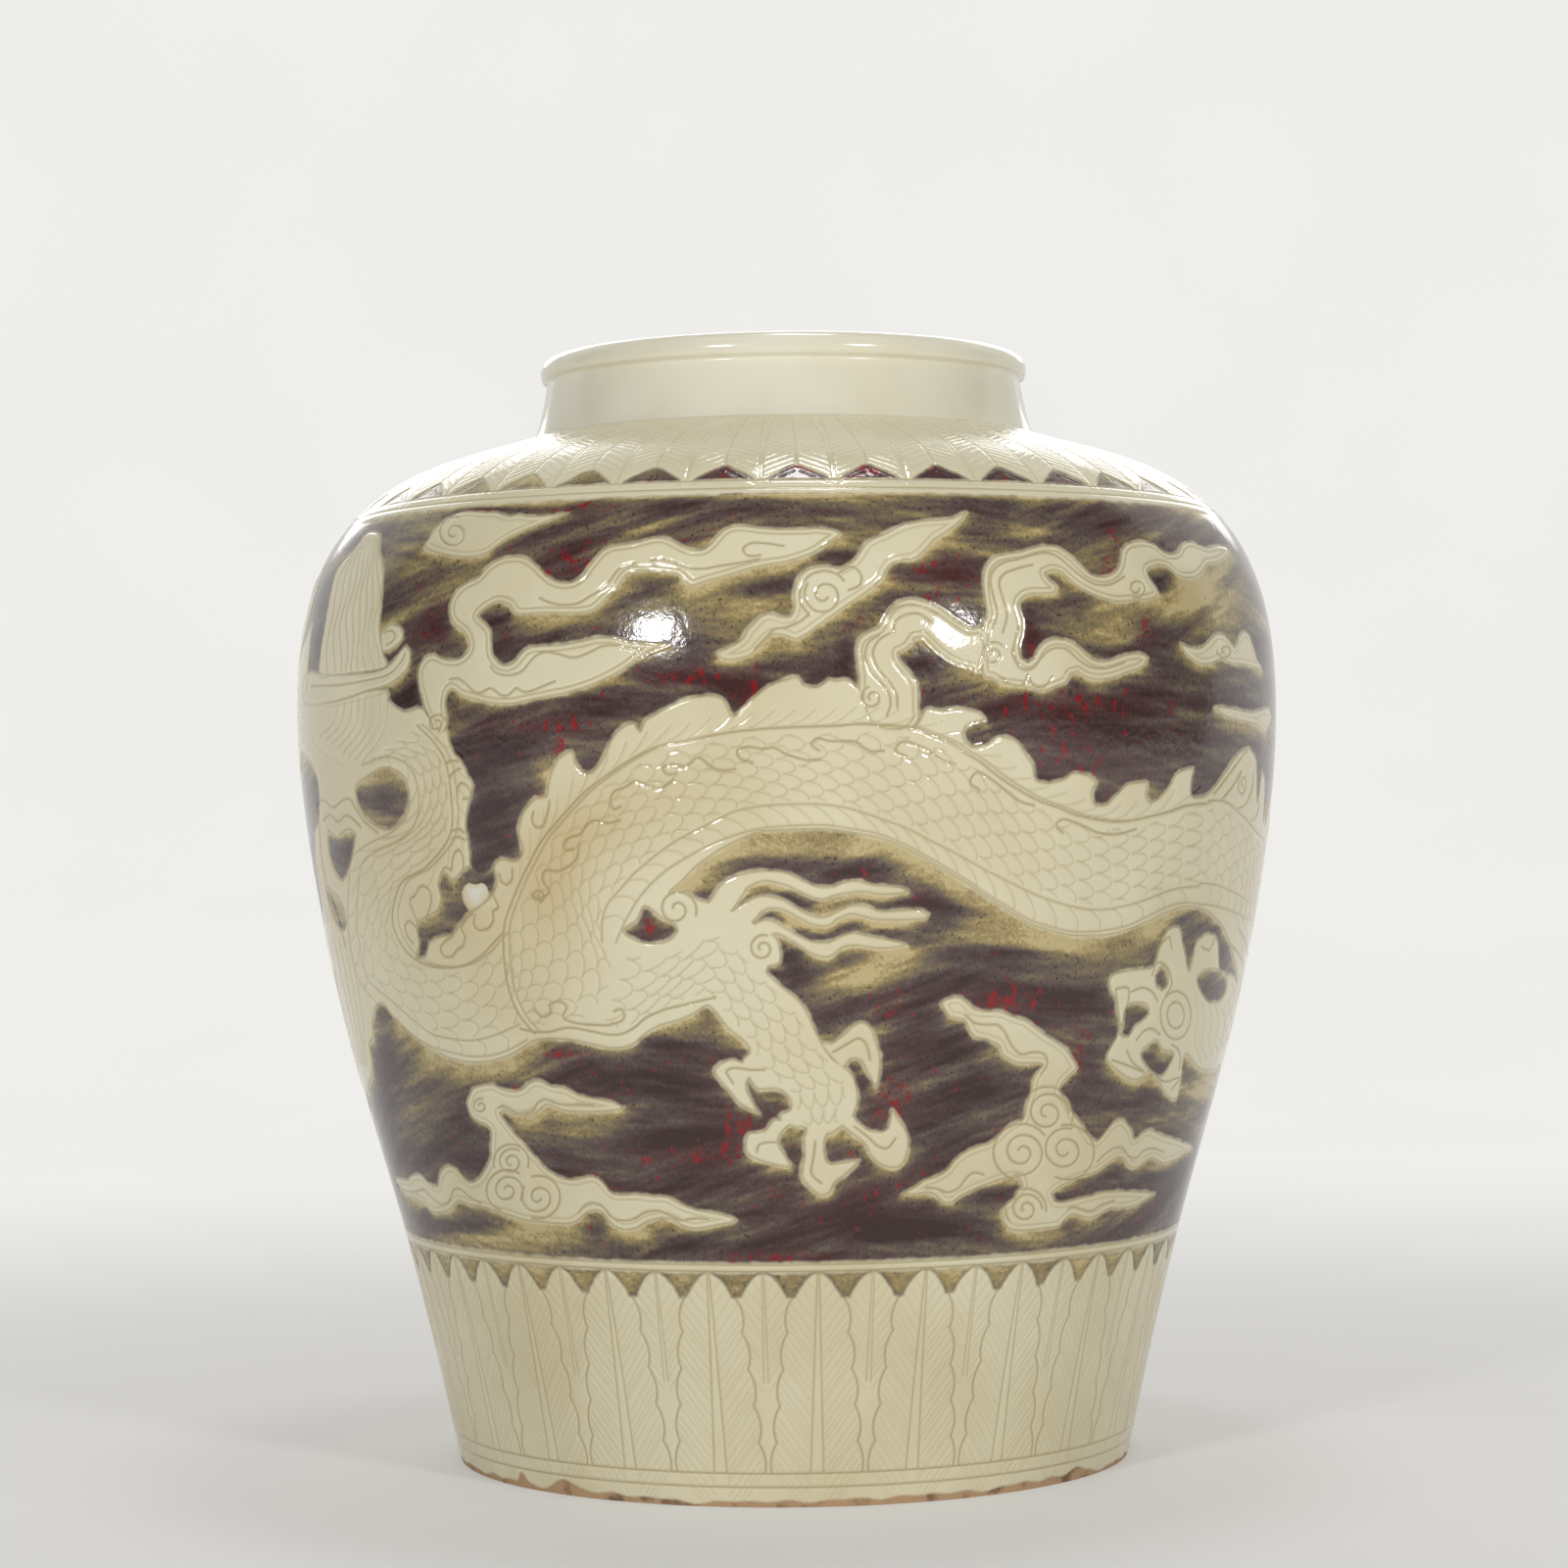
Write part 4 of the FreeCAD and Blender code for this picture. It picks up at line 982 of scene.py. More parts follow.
def signed_distance(outline):
    """How far the places of a window lie inside a closed outline, and that window's rows and columns."""
    first_row, last_row, first_column, last_column = window_of(outline, EDGE_REACH)
    rows, columns = np.arange(first_row, last_row), np.arange(first_column, last_column)
    distance = np.full((len(rows), len(columns)), EDGE_REACH, np.float32)
    crossings = np.zeros((len(rows), len(columns) + 1), np.int32)
    for start, end in zip(outline, np.roll(outline, -1, axis=0)):
        near = window_of(np.stack([start, end]), EDGE_REACH)
        part_rows = np.arange(max(near[0], first_row), min(near[1], last_row))
        part_columns = np.arange(max(near[2], first_column), min(near[3], last_column))
        place = np.ix_(part_rows - first_row, part_columns - first_column)
        distance[place] = np.minimum(distance[place], segment_distance(start, end, part_rows, part_columns))
        below, above = sorted((start, end), key=lambda point: point[1])
        crossed = np.arange(math.ceil(below[1] / row_gap), math.ceil(above[1] / row_gap))
        crossed = crossed[(crossed >= first_row) & (crossed < last_row)]
        if len(crossed):
            share = (crossed * row_gap - below[1]) / (above[1] - below[1])
            angle = below[0] + share * (above[0] - below[0])
            column = np.ceil((angle - turn[0]) / turn_gap).astype(int) - first_column
            np.add.at(crossings, (crossed - first_row, np.clip(column, 0, len(columns))), 1)
    inside = np.cumsum(crossings, axis=1)[:, :-1] % 2 == 1
    return np.where(inside, distance, -distance), np.ix_(rows, columns % COLUMNS)


def reserve(outline, contours=()):
    """Leaves a figure free of pigment, with incised lines along its edge, as (depth, share) pairs."""
    inside, place = signed_distance(outline)
    figure[place] = np.maximum(figure[place], inside)
    for depth, share in contours:
        line = share * np.exp(-((inside - depth) / LINE_HALF_WIDTH) ** 2)
        groove[place] = np.maximum(groove[place], line)


def paint_island(outline):
    """Paints ground inside a reserved figure."""
    inside, place = signed_distance(outline)
    figure[place] = np.minimum(figure[place], -inside)


# A scale's bow, as shares: where it starts, how far it runs along the body, and between which margins it lies
BOW_START_SHARE = 0.1
BOW_LENGTH_SHARE = 0.85
BACK_MARGIN_SHARE = 0.08
BELLY_MARGIN_SHARE = 0.97


def cut_scales(back, belly, rows_across, place=pixels_to_wall):
    """Rows of overlapping scales between the line of the back and the line of the belly."""
    count = int((line_length(back) + line_length(belly)) / 2 / SCALE_PIXELS)
    first, second = resampled(back, count + 1), resampled(belly, count + 1)
    swing = np.sin(np.linspace(-math.pi / 2, math.pi / 2, BOW_POINTS))
    for i in range(count):
        for j in range(rows_across + 1):
            middle = (j + 0.5 * (i % 2)) / rows_across
            share = middle + swing * 0.5 / rows_across
            along = i + BOW_START_SHARE + BOW_LENGTH_SHARE * np.sqrt(1 - swing ** 2)
            keep = (share > BACK_MARGIN_SHARE) & (share < BELLY_MARGIN_SHARE) & (along < count)
            if keep.sum() > 2:
                bow = between(first, second, along[keep], share[keep])
                cut_line(place(bow), SCALE_SHARE, FINE_HALF_WIDTH)


# A belly plate's seam, as shares: how much of the plates' width it crosses, and how far it bows along them
SEAM_ACROSS_SHARES = np.linspace(0.05, 0.95, 7)
SEAM_BOW_SHARE = 0.25


def cut_plates(inner, outer, place=pixels_to_wall):
    """The belly plates: two long lines with short curved lines across."""
    for line in (inner, outer):
        cut_line(on_wall(line, place=place), PLATE_EDGE_SHARE)
    count = int(line_length(inner) / PLATE_PIXELS)
    first, second = resampled(inner, count + 1), resampled(outer, count + 1)
    bow = SEAM_BOW_SHARE * (1 - (2 * SEAM_ACROSS_SHARES - 1) ** 2)
    for i in range(1, count):
        seam = between(first, second, i + bow, SEAM_ACROSS_SHARES)
        cut_line(place(seam), SCALE_SHARE, FINE_HALF_WIDTH)


def cut_fin(line, first, last, place=pixels_to_wall):
    """Flame-like strokes that leave the back and lean towards the tail."""
    dense = smooth_line(line, LINE_STEP)
    marks = lengths_along(dense)
    share = np.linspace(0, 1, FIN_POINTS)
    lift = FIN_ROOT_LIFT + FIN_TIP_LIFT * share ** FIN_LIFT_POWER
    for start in np.arange(first, min(last, marks[-1] - FIN_STOPS_BEFORE_END), FIN_SPACING):
        stroke = points_along(dense, marks, start + FIN_LENGTH * share)
        direction = np.gradient(stroke, axis=0)
        direction /= np.hypot(*direction.T)[:, None]
        normal = np.stack([direction[:, 1], -direction[:, 0]], 1)
        cut_line(place(stroke + normal * lift[:, None]), FIN_SHARE, FINE_HALF_WIDTH)


def oval(centre_x, centre_y, half_width, half_height, count):
    angle = np.linspace(0, 2 * math.pi, count)
    return np.stack([centre_x + half_width * np.cos(angle), centre_y + half_height * np.sin(angle)], 1)


def curl(centre_x, centre_y, inner, outer, turns, start):
    share = np.linspace(0, 1, int(CURL_POINTS_PER_TURN * turns))
    radius = inner + (outer - inner) * share
    angle = 2 * math.pi * (start + turns * share)
    return np.stack([centre_x + radius * np.cos(angle), centre_y + radius * np.sin(angle)], 1)


def cut_hair():
    """Combed hair in the lock above the horn, and the fan below it."""
    left, right = resampled(LOCK_LEFT, LOCK_POINTS), resampled(LOCK_RIGHT, LOCK_POINTS)
    along = np.arange(LOCK_POINTS)
    for share in LOCK_STRAND_SHARES:
        wave = share + LOCK_WAVE_SHARE * np.sin(along * LOCK_WAVE_ALONG + LOCK_WAVE_ACROSS * share)
        cut_line(pixels_to_wall(between(left, right, along, wave)), HAIR_SHARE, FINE_HALF_WIDTH)
    inner, outer = resampled(FAN_INNER, FAN_POINTS), resampled(FAN_OUTER, FAN_POINTS)
    for share in FAN_STRAND_SHARES:
        strand = between(inner, outer, np.arange(FAN_POINTS), np.full(FAN_POINTS, share))
        cut_line(pixels_to_wall(strand), HAIR_SHARE, FINE_HALF_WIDTH)
    for line in (FAN_TOP, FAN_BOTTOM):
        cut_line(pixels_to_wall(resampled(line, FAN_EDGE_POINTS)), FAN_EDGE_SHARE)


def decorate_front():
    """The dragon, clouds and ribbons that the photograph shows."""
    for cloud in FRONT_CLOUDS:
        reserve(on_wall(cloud, True), CLOUD_CONTOURS)
    for ribbon in FRONT_RIBBONS:
        reserve(on_wall(ribbon, True), RIBBON_CONTOURS)
    for part in [DRAGON_BODY, FAR_PAW] + ELBOW_STRANDS + NEAR_FINGERS:
        reserve(on_wall(part, True))
    for part in (HAIR_LOCK, EAR, HORN):
        reserve(on_wall(part, True), HAIR_CONTOURS)
    for island in GROUND_ISLANDS:
        paint_island(on_wall(island, True))
    for notch in FLAME_NOTCHES + [FIN_NOTCH, TUFT_NOTCH]:
        paint_island(on_wall(notch, True, behind))
    for line in SINGLE_LINES + NECK_FLAMES + FAR_PAW_LINES:
        cut_line(on_wall(line))
    for line in LEG_HAIRS + EDGE_HAIRS + LEFT_HAIRS:
        cut_line(on_wall(line), LEG_HAIR_SHARE, FINE_HALF_WIDTH)
    x, y, half_width, half_height = FAR_PAD
    for share in FAR_PAD_RING_SHARES:
        cut_line(pixels_to_wall(oval(x, y, share * half_width, share * half_height, OVAL_POINTS)))
    for values in CURLS:
        cut_line(pixels_to_wall(curl(*values)))
    for back, belly, rows_across in FRONT_SCALES:
        cut_scales(back, belly, rows_across)
    for inner, outer in FRONT_PLATES:
        cut_plates(inner, outer)
    for line, fin_start, fin_end in FRONT_FINS:
        cut_line(on_wall(line))
        cut_line(on_wall(np.asarray(line) + SECOND_BACK_LINE_OFFSET), SECOND_BACK_LINE_SHARE)
        cut_fin(line, fin_start, fin_end)
    cut_hair()


# Lobes of the tail's fin, in units of the unrolled drawing
LOBE_LENGTH = 52.0
LOBE_BASE = 12.0
LOBE_RISE = 26.0
LOBE_RISE_POWER = 1.5
LOBE_FALL_POWER = 0.35


def lobed_back(line, lobes):
    """The line of the back with a pointed fin lobe beside each of the given places."""
    outline = []
    for x, y in resampled(line, LOBED_BACK_POINTS):
        nearest = min((x - lobe for lobe in lobes if x >= lobe), default=LOBE_LENGTH)
        share = min(nearest / LOBE_LENGTH, 1.0)
        rise = LOBE_RISE * share ** LOBE_RISE_POWER * (1 - share) ** LOBE_FALL_POWER
        outline.append((x, y - LOBE_BASE - rise))
    return outline


def encloses(outline, point):
    """Whether a closed outline runs around a point."""
    inside = False
    for (x1, y1), (x2, y2) in zip(outline, np.roll(outline, -1, axis=0)):
        if (y1 > point[1]) != (y2 > point[1]) and point[0] < x1 + (point[1] - y1) * (x2 - x1) / (y2 - y1):
            inside = not inside
    return inside


def draw_clouds_behind():
    """Clouds of the front drawn again behind, with the lines inside them."""
    inner_lines = [smooth_line(line, LINE_STEP) for line in SINGLE_LINES]
    inner_lines += [curl(*values) for values in CURLS]
    for cloud, contours, right, down, mirrored in CLOUDS_BEHIND:
        cloud = np.asarray(cloud, float)
        side = -1 if mirrored else 1
        move = np.array([cloud[:, 0].mean() * (1 - side) + right, down])
        reserve(on_wall(cloud * (side, 1) + move, True, behind), contours)
        for line in inner_lines:
            if encloses(cloud, line.mean(0)):
                cut_line(behind(line * (side, 1) + move))


def draw_pearl():
    """The flaming pearl before the dragon, a disc with a spiral."""
    x, y, radius = PEARL
    reserve(on_wall(oval(x, y, radius, radius, PEARL_POINTS)[:-1], True, behind))
    cut_line(behind(curl(x, y, *PEARL_SPIRAL)))


def decorate_behind():
    """A traditional continuation of the dragon around the side that the photograph doesn't show."""
    draw_clouds_behind()
    draw_pearl()
    for part in HEAD_PARTS:
        reserve(on_wall(part, True, behind), HAIR_CONTOURS)
    tail = lobed_back(TAIL_BACK[TAIL_START:], TAIL_LOBES) + TAIL_BELLY[TAIL_START:][::-1]
    body_parts = [tail, HIP, HIND_LEG, FIN_END, HEAD, FAR_ARM, ELBOW_TUFT]
    for part in body_parts + WHISKERS + TAIL_FLAMES + FAR_ARM_FINGERS + HIND_FINGERS + PEARL_FLAMES:
        reserve(on_wall(part, True, behind))
    for line in HEAD_LINES + SIDE_LINES + TUFT_HAIRS + [TAIL_BACK]:
        cut_line(on_wall(line, place=behind))
    for strand in MANE_STRANDS:
        cut_line(on_wall(strand, place=behind), HAIR_SHARE, FINE_HALF_WIDTH)
    for values in HEAD_CURLS + SIDE_CURLS:
        cut_line(behind(curl(*values)))
    back, belly = resampled(TAIL_BACK, TAIL_POINTS), resampled(TAIL_BELLY, TAIL_POINTS)
    plates_start = between(back, belly, np.arange(TAIL_POINTS), np.full(TAIL_POINTS, TAIL_PLATES_SHARE))
    cut_plates(plates_start, TAIL_BELLY, behind)
    for back, belly, rows_across in [(TAIL_BACK, plates_start, TAIL_SCALES_ACROSS)] + SCALES_BEHIND:
        cut_scales(back, belly, rows_across, behind)
    cut_fin(TAIL_BACK, *TAIL_FIN_STRETCH, behind)


decorate_behind()
decorate_front()
edge_line = EDGE_SHARE * np.exp(-((figure - EDGE_LINE_DEPTH) / LINE_HALF_WIDTH) ** 2)
groove = np.maximum(groove, edge_line)

# Painted ground: everything between the two borders that isn't reserved
ground_low, ground_high = up_at_pixel(GROUND_BOTTOM_PIXEL), up_at_pixel(GROUND_TOP_PIXEL)
band = np.minimum(row_up - ground_low, ground_high - row_up)[:, None]
ground = np.minimum(band, -figure).astype(np.float32)

# Petals around the foot: an arched tip on lobed sides, with a midrib, and the tips of a second row behind
FOOT_PETALS = 24
FOOT_PETAL_TURN = math.radians(3.4)
PETAL_ARCH_DEPTH = 10.5
PETAL_ARCH_WIDTH = 9.4
PETAL_ARCH_POWER = 0.55
PETAL_BODY_DEPTH = 75.0
PETAL_SPREAD = 7.6
PETAL_SPREAD_POWER = 0.7
PETAL_LOBE_LENGTH = 15.5
PETAL_LOBE_BULGE = 2.0
PETAL_LOBE_POWER = 0.7
PETAL_SHARE = 0.85
MIDRIB_TIP = 0.4
MIDRIB_SPREAD = 2.2
MIDRIB_SHARE = 0.75
BACK_MIDRIB_SPREAD = 0.9
BACK_MIDRIB_DEPTH_SHARE = 0.55
BACK_MIDRIB_SHARE = 0.65
BACK_VEINS_DEPTH_SHARE = 0.5

# Veins of the foot petals: where they start, how far apart they are and how steeply they climb
FIRST_VEIN_DROP = 4.0
VEIN_SPACING = 3.4
VEIN_ROOT = 0.9
BACK_VEIN_ROOT = 1.2
VEIN_EDGE_GAP = 1.0
VEIN_CLIMB = 1.45
SHORTEST_VEIN = 1.0

# Petals around the shoulder, with a painted triangle between each two
SHOULDER_PETALS = 40
SHOULDER_PETAL_TURN = math.radians(6.0)
SHOULDER_TOP_MARGIN = 6.0
SHOULDER_DART_HEIGHT = 10.5
SHOULDER_DART_HALF_WIDTH = 12.2
SHOULDER_DART_POWER = 1.15
SHOULDER_DART_SHARE = 0.7
SHOULDER_EDGE_SHARE = 0.55
SHOULDER_MIDRIB_SPREAD = 1.6
SHOULDER_MIDRIB_SHARE = 0.45
SHOULDER_FIRST_VEIN = 6.0
SHOULDER_LAST_VEIN = 4.0
SHOULDER_VEIN_SPACING = 4.2
SHOULDER_VEIN_ROOT = 1.6
SHOULDER_VEIN_GAP = 1.2
SHOULDER_VEIN_LEAST = 3.0
SHOULDER_VEIN_CLIMB = 0.75
DART_GAP = 0.7
DART_TIP = 0.2


def wall_line(centre, offsets, ups):
    """A line on the wall from sideways offsets in millimetres about an angle, at distances up the wall."""
    offsets, ups = np.asarray(offsets, float), np.asarray(ups, float)
    return np.stack([centre + offsets / radius_at_up(ups), ups], 1)


def foot_petal_width(drop):
    """Half the width of a foot petal at depths below its tip: an arched tip, then lobed sides."""
    arch = PETAL_ARCH_WIDTH * (np.clip(drop, 0, PETAL_ARCH_DEPTH) / PETAL_ARCH_DEPTH) ** PETAL_ARCH_POWER
    below = np.clip(drop - PETAL_ARCH_DEPTH, 0, None)
    spread = PETAL_SPREAD * (below / PETAL_BODY_DEPTH) ** PETAL_SPREAD_POWER
    lobe = PETAL_LOBE_BULGE * np.abs(np.sin(math.pi * below / PETAL_LOBE_LENGTH)) ** PETAL_LOBE_POWER
    return arch + spread + lobe


def cut_vein(centre, side, root, edge, edge_up, climb):
    """A short vein that climbs from a petal's midrib to its edge."""
    offsets = np.linspace(root, edge, VEIN_POINTS)
    vein = wall_line(centre, side * offsets, edge_up + climb * (offsets - edge))
    cut_line(vein, VEIN_SHARE, VEIN_HALF_WIDTH)


def paint_dart(centre, upward, base, half_widths, rises):
    """A painted triangle between two petal tips, from half widths at heights above or below its base."""
    keep = half_widths > DART_TIP
    rises, half_widths = rises[keep] + DART_GAP, half_widths[keep]
    offsets = np.concatenate([half_widths, -half_widths[::-1]])
    ups = base + upward * np.concatenate([rises, rises[::-1]])
    inside, place = signed_distance(wall_line(centre, offsets, ups))
    ground[place] = np.maximum(ground[place], inside)


def cut_front_petal(centre, side, top, height):
    """Half of a whole foot petal: its edge, one line of its midrib and its veins."""
    drops = np.linspace(0, height, PETAL_POINTS)
    cut_line(wall_line(centre, side * foot_petal_width(drops), top - drops), PETAL_SHARE)
    midrib = MIDRIB_TIP + MIDRIB_SPREAD * drops / height
    cut_line(wall_line(centre, side * midrib, top - drops), MIDRIB_SHARE, FINE_HALF_WIDTH)
    for drop in np.arange(FIRST_VEIN_DROP, height, VEIN_SPACING):
        root = VEIN_ROOT + MIDRIB_SPREAD * drop / height
        edge = foot_petal_width(drop) - VEIN_EDGE_GAP
        if edge > root + SHORTEST_VEIN:
            cut_vein(centre, side, root, edge, top - drop, VEIN_CLIMB)


def cut_back_petal(centre, side, top, height, half_spacing):
    """Half of a foot petal that shows between two whole ones: its tip, midrib and veins."""
    tip_drops = np.linspace(0, PETAL_ARCH_DEPTH, PETAL_TIP_POINTS)
    cut_line(wall_line(centre, side * foot_petal_width(tip_drops), top - tip_drops), PETAL_SHARE)
    rib_drops = np.linspace(0, BACK_MIDRIB_DEPTH_SHARE * height, BACK_MIDRIB_POINTS)
    midrib = MIDRIB_TIP + BACK_MIDRIB_SPREAD * rib_drops / height
    cut_line(wall_line(centre, side * midrib, top - rib_drops), BACK_MIDRIB_SHARE, FINE_HALF_WIDTH)
    for drop in np.arange(FIRST_VEIN_DROP, BACK_VEINS_DEPTH_SHARE * height, VEIN_SPACING):
        width = foot_petal_width(drop)
        edge = min(width, half_spacing - width) - VEIN_EDGE_GAP
        if edge > BACK_VEIN_ROOT + SHORTEST_VEIN:
            cut_vein(centre, side, BACK_VEIN_ROOT, edge, top - drop, VEIN_CLIMB)


def cut_foot_petals():
    """The border above the foot: whole petals, the tips between them and painted darts between all tips."""
    top, bottom = up_at_pixel(LOWER_LINE_PIXELS[1]), up_at_pixel(FOOT_LINE_PIXELS[0])
    height = top - bottom
    pitch = 2 * math.pi / FOOT_PETALS
    half_spacing = math.pi * radius_at_up(top) / FOOT_PETALS
    tip_drops = np.linspace(0, PETAL_ARCH_DEPTH, PETAL_TIP_POINTS)
    for k in range(FOOT_PETALS):
        centre = FOOT_PETAL_TURN + k * pitch
        for side in (-1, 1):
            cut_front_petal(centre, side, top, height)
            cut_back_petal(centre + pitch / 2, side, top, height, half_spacing)
        for dart in (centre + pitch / 4, centre + pitch / 2 + pitch / 4):
            paint_dart(dart, -1, top, half_spacing / 2 - foot_petal_width(tip_drops), tip_drops)


def cut_shoulder_petals():
    """The border on the shoulder: petals that point down, with painted darts between their tips."""
    bottom, top = up_at_pixel(UPPER_LINE_PIXELS[0]), profile_up[-1] - SHOULDER_TOP_MARGIN
    height = top - bottom
    pitch = 2 * math.pi / SHOULDER_PETALS
    ups = np.linspace(bottom, top, SHOULDER_MIDRIB_POINTS)
    edge_ups = np.linspace(bottom + SHOULDER_DART_HEIGHT, top, SHOULDER_EDGE_POINTS)
    rises = np.linspace(0, SHOULDER_DART_HEIGHT, PETAL_TIP_POINTS)
    half_widths = SHOULDER_DART_HALF_WIDTH * (1 - (rises / SHOULDER_DART_HEIGHT) ** SHOULDER_DART_POWER)
    midrib = MIDRIB_TIP + SHOULDER_MIDRIB_SPREAD * (ups - bottom) / height
    for k in range(SHOULDER_PETALS):
        centre = SHOULDER_PETAL_TURN + k * pitch
        dart = centre + pitch / 2
        paint_dart(dart, 1, bottom, half_widths, rises)
        cut_line(wall_line(dart, 0 * edge_ups, edge_ups), SHOULDER_EDGE_SHARE)
        for side in (-1, 1):
            cut_line(wall_line(dart, side * half_widths, bottom + rises), SHOULDER_DART_SHARE)
            cut_line(wall_line(centre, side * midrib, ups), SHOULDER_MIDRIB_SHARE, FINE_HALF_WIDTH)
            for rise in np.arange(SHOULDER_FIRST_VEIN, height - SHOULDER_LAST_VEIN, SHOULDER_VEIN_SPACING):
                room = pitch / 2 * radius_at_up(bottom + rise) - SHOULDER_VEIN_GAP
                edge = max(room, SHOULDER_VEIN_LEAST)
                edge_up = bottom + rise + SHOULDER_VEIN_CLIMB * (edge - room)
                cut_vein(centre, side, SHOULDER_VEIN_ROOT, edge, edge_up, SHOULDER_VEIN_CLIMB)


cut_foot_petals()
cut_shoulder_petals()
for level in UPPER_LINE_PIXELS + LOWER_LINE_PIXELS + FOOT_LINE_PIXELS:
    cut_ring(up_at_pixel(level))
ground_slope = np.gradient(ground, row_gap, axis=0)

# The layout of the washes is used again half a turn on, and fades out at the sides between
SIDE_FADE_SHARE = 0.25
front_turn = (turn + math.pi / 2) % math.pi - math.pi / 2
pixel_x, pixel_y = wall_to_pixels(front_turn[None, :], row_up[:, None])
side_fade = np.clip(np.cos(front_turn) / SIDE_FADE_SHARE, 0, 1)[None, :]
on_front = (np.cos(turn) > 0)[None, :]

# Wavering values around the jar, as (seed, how many waves go around), and the weakest wave's share
DARK_DART_STRETCHES = (8, [3, 4, 7])
SEAM_STRETCHES = (5, [2, 3, 5, 8, 13])
RED_STRETCHES = (6, [5, 9, 14, 22, 31])
GLAZE_EDGE_WAVES = (3, [3, 5, 9, 14, 23, 37, 61])
WEAKEST_WAVE_SHARE = 0.5


def ragged(seed, waves):
    """A wavering value around the jar, between about -1 and 1."""
    random = np.random.default_rng(seed)
    total = np.zeros_like(turn)
    for wave in waves:
        ripple = np.sin(wave * turn + random.uniform(0, 2 * math.pi))
        total += ripple * random.uniform(WEAKEST_WAVE_SHARE, 1) / len(waves) ** 0.5
    return total


def blots(table):
    """Soft round blots added up over the whole skin."""
    total = np.zeros((ROWS, COLUMNS), np.float32)
    for centre_x, centre_y, half_width, half_height, amount in table:
        across, down = (pixel_x - centre_x) / half_width, (pixel_y - centre_y) / half_height
        total += amount * np.exp(-across ** 2 - down ** 2)
    return total * side_fade


def near_edge(reach):
    """How near a place of the ground lies to the edge of a figure: one at the edge, fading over a reach."""
    return np.exp(-np.clip(ground, 0, None) / reach)


# Bristle marks of the brush: two slants that take turns in broad patches, as waves, the longer the stronger
BRUSH_SEED = 11
BRUSH_SLANTS = [0.30, -0.10]
BRUSH_SLANT_SPREAD = 0.12
BRUSH_WAVE_LENGTHS = np.geomspace(2.6, 30.0, 26)
BRUSH_LENGTH_POWER = 0.6
BRUSH_BEND = 0.4
BRUSH_STRENGTH = 0.135
PATCH_WAVES = range(2, 9)
PATCH_RISE = 0.05


def brush_marks():
    random = np.random.default_rng(BRUSH_SEED)
    angle, up = turn[None, :].astype(np.float32), row_up[:, None].astype(np.float32)
    patches = np.zeros((ROWS, COLUMNS), np.float32)
    for around in PATCH_WAVES:
        rise = random.uniform(-PATCH_RISE, PATCH_RISE)
        patches += np.sin(around * angle + rise * up + random.uniform(0, 2 * math.pi))
    slanted = []
    for slant in BRUSH_SLANTS:
        total = np.zeros((ROWS, COLUMNS), np.float32)
        for length in BRUSH_WAVE_LENGTHS:
            tilt = slant + random.normal(0, BRUSH_SLANT_SPREAD)
            around = round(2 * math.pi * BELLY_RADIUS / length * math.sin(tilt))
            rise = 2 * math.pi / length * math.cos(tilt)
            bend = BRUSH_BEND * patches + random.uniform(0, 2 * math.pi)
            total += length ** BRUSH_LENGTH_POWER * np.cos(around * angle - rise * up + bend)
        slanted.append(total / total.std())
    share = np.clip(0.5 + 0.5 * patches, 0, 1)
    return share * slanted[0] + (1 - share) * slanted[1]


# How the thickness changes near edges and joints, as amounts and the reach of each in millimetres
HALO_REACH = 3.2
HALO_AMOUNT = 0.24
HALO_BELOW_AMOUNT = 0.50
POOL_REACH = 2.2
POOL_AMOUNT = 0.30
SEAM_HALF_WIDTH = 1.1
SEAM_AMOUNT = 0.22
RIM_REACH = 0.8
RIM_AMOUNT = 0.40

# The painted triangles are thin and olive, with a little of the ground's clouding, and some are dark
OLIVE_PIGMENT = 0.16
OLIVE_CLOUDING_SHARE = 0.25
DARK_DART_AMOUNT = 0.62
DARK_BEHIND_LIMIT = 0.8

# Below this thickness the pigment thins out ever more slowly, so that a bare ochre film is left
THIN_PIGMENT = 0.18


def bare_bands():
    """How much pigment is missing along the stretches that were kept free of it."""
    total = np.zeros((ROWS, COLUMNS), np.float32)
    for line in BARE_BANDS:
        spots = [
            (x, y, BARE_BAND_HALF_WIDTH * BARE_SPOT_STRETCH, BARE_BAND_HALF_WIDTH, BARE_BAND_AMOUNT / 2)
            for x, y in smooth_line(line, BARE_BAND_HALF_WIDTH)]
        total += np.maximum(blots(spots), BARE_BAND_AMOUNT) * on_front
    return total


def dark_darts():
    """Which of the shoulder's triangles are dark: a stretch on the front, and ragged stretches behind."""
    front = np.exp(-((pixel_x - DARK_DARTS_MIDDLE) / DARK_DARTS_HALF_WIDTH) ** DARK_DARTS_POWER) * on_front
    return np.maximum(front, np.clip(ragged(*DARK_DART_STRETCHES), 0, DARK_BEHIND_LIMIT) * ~on_front)


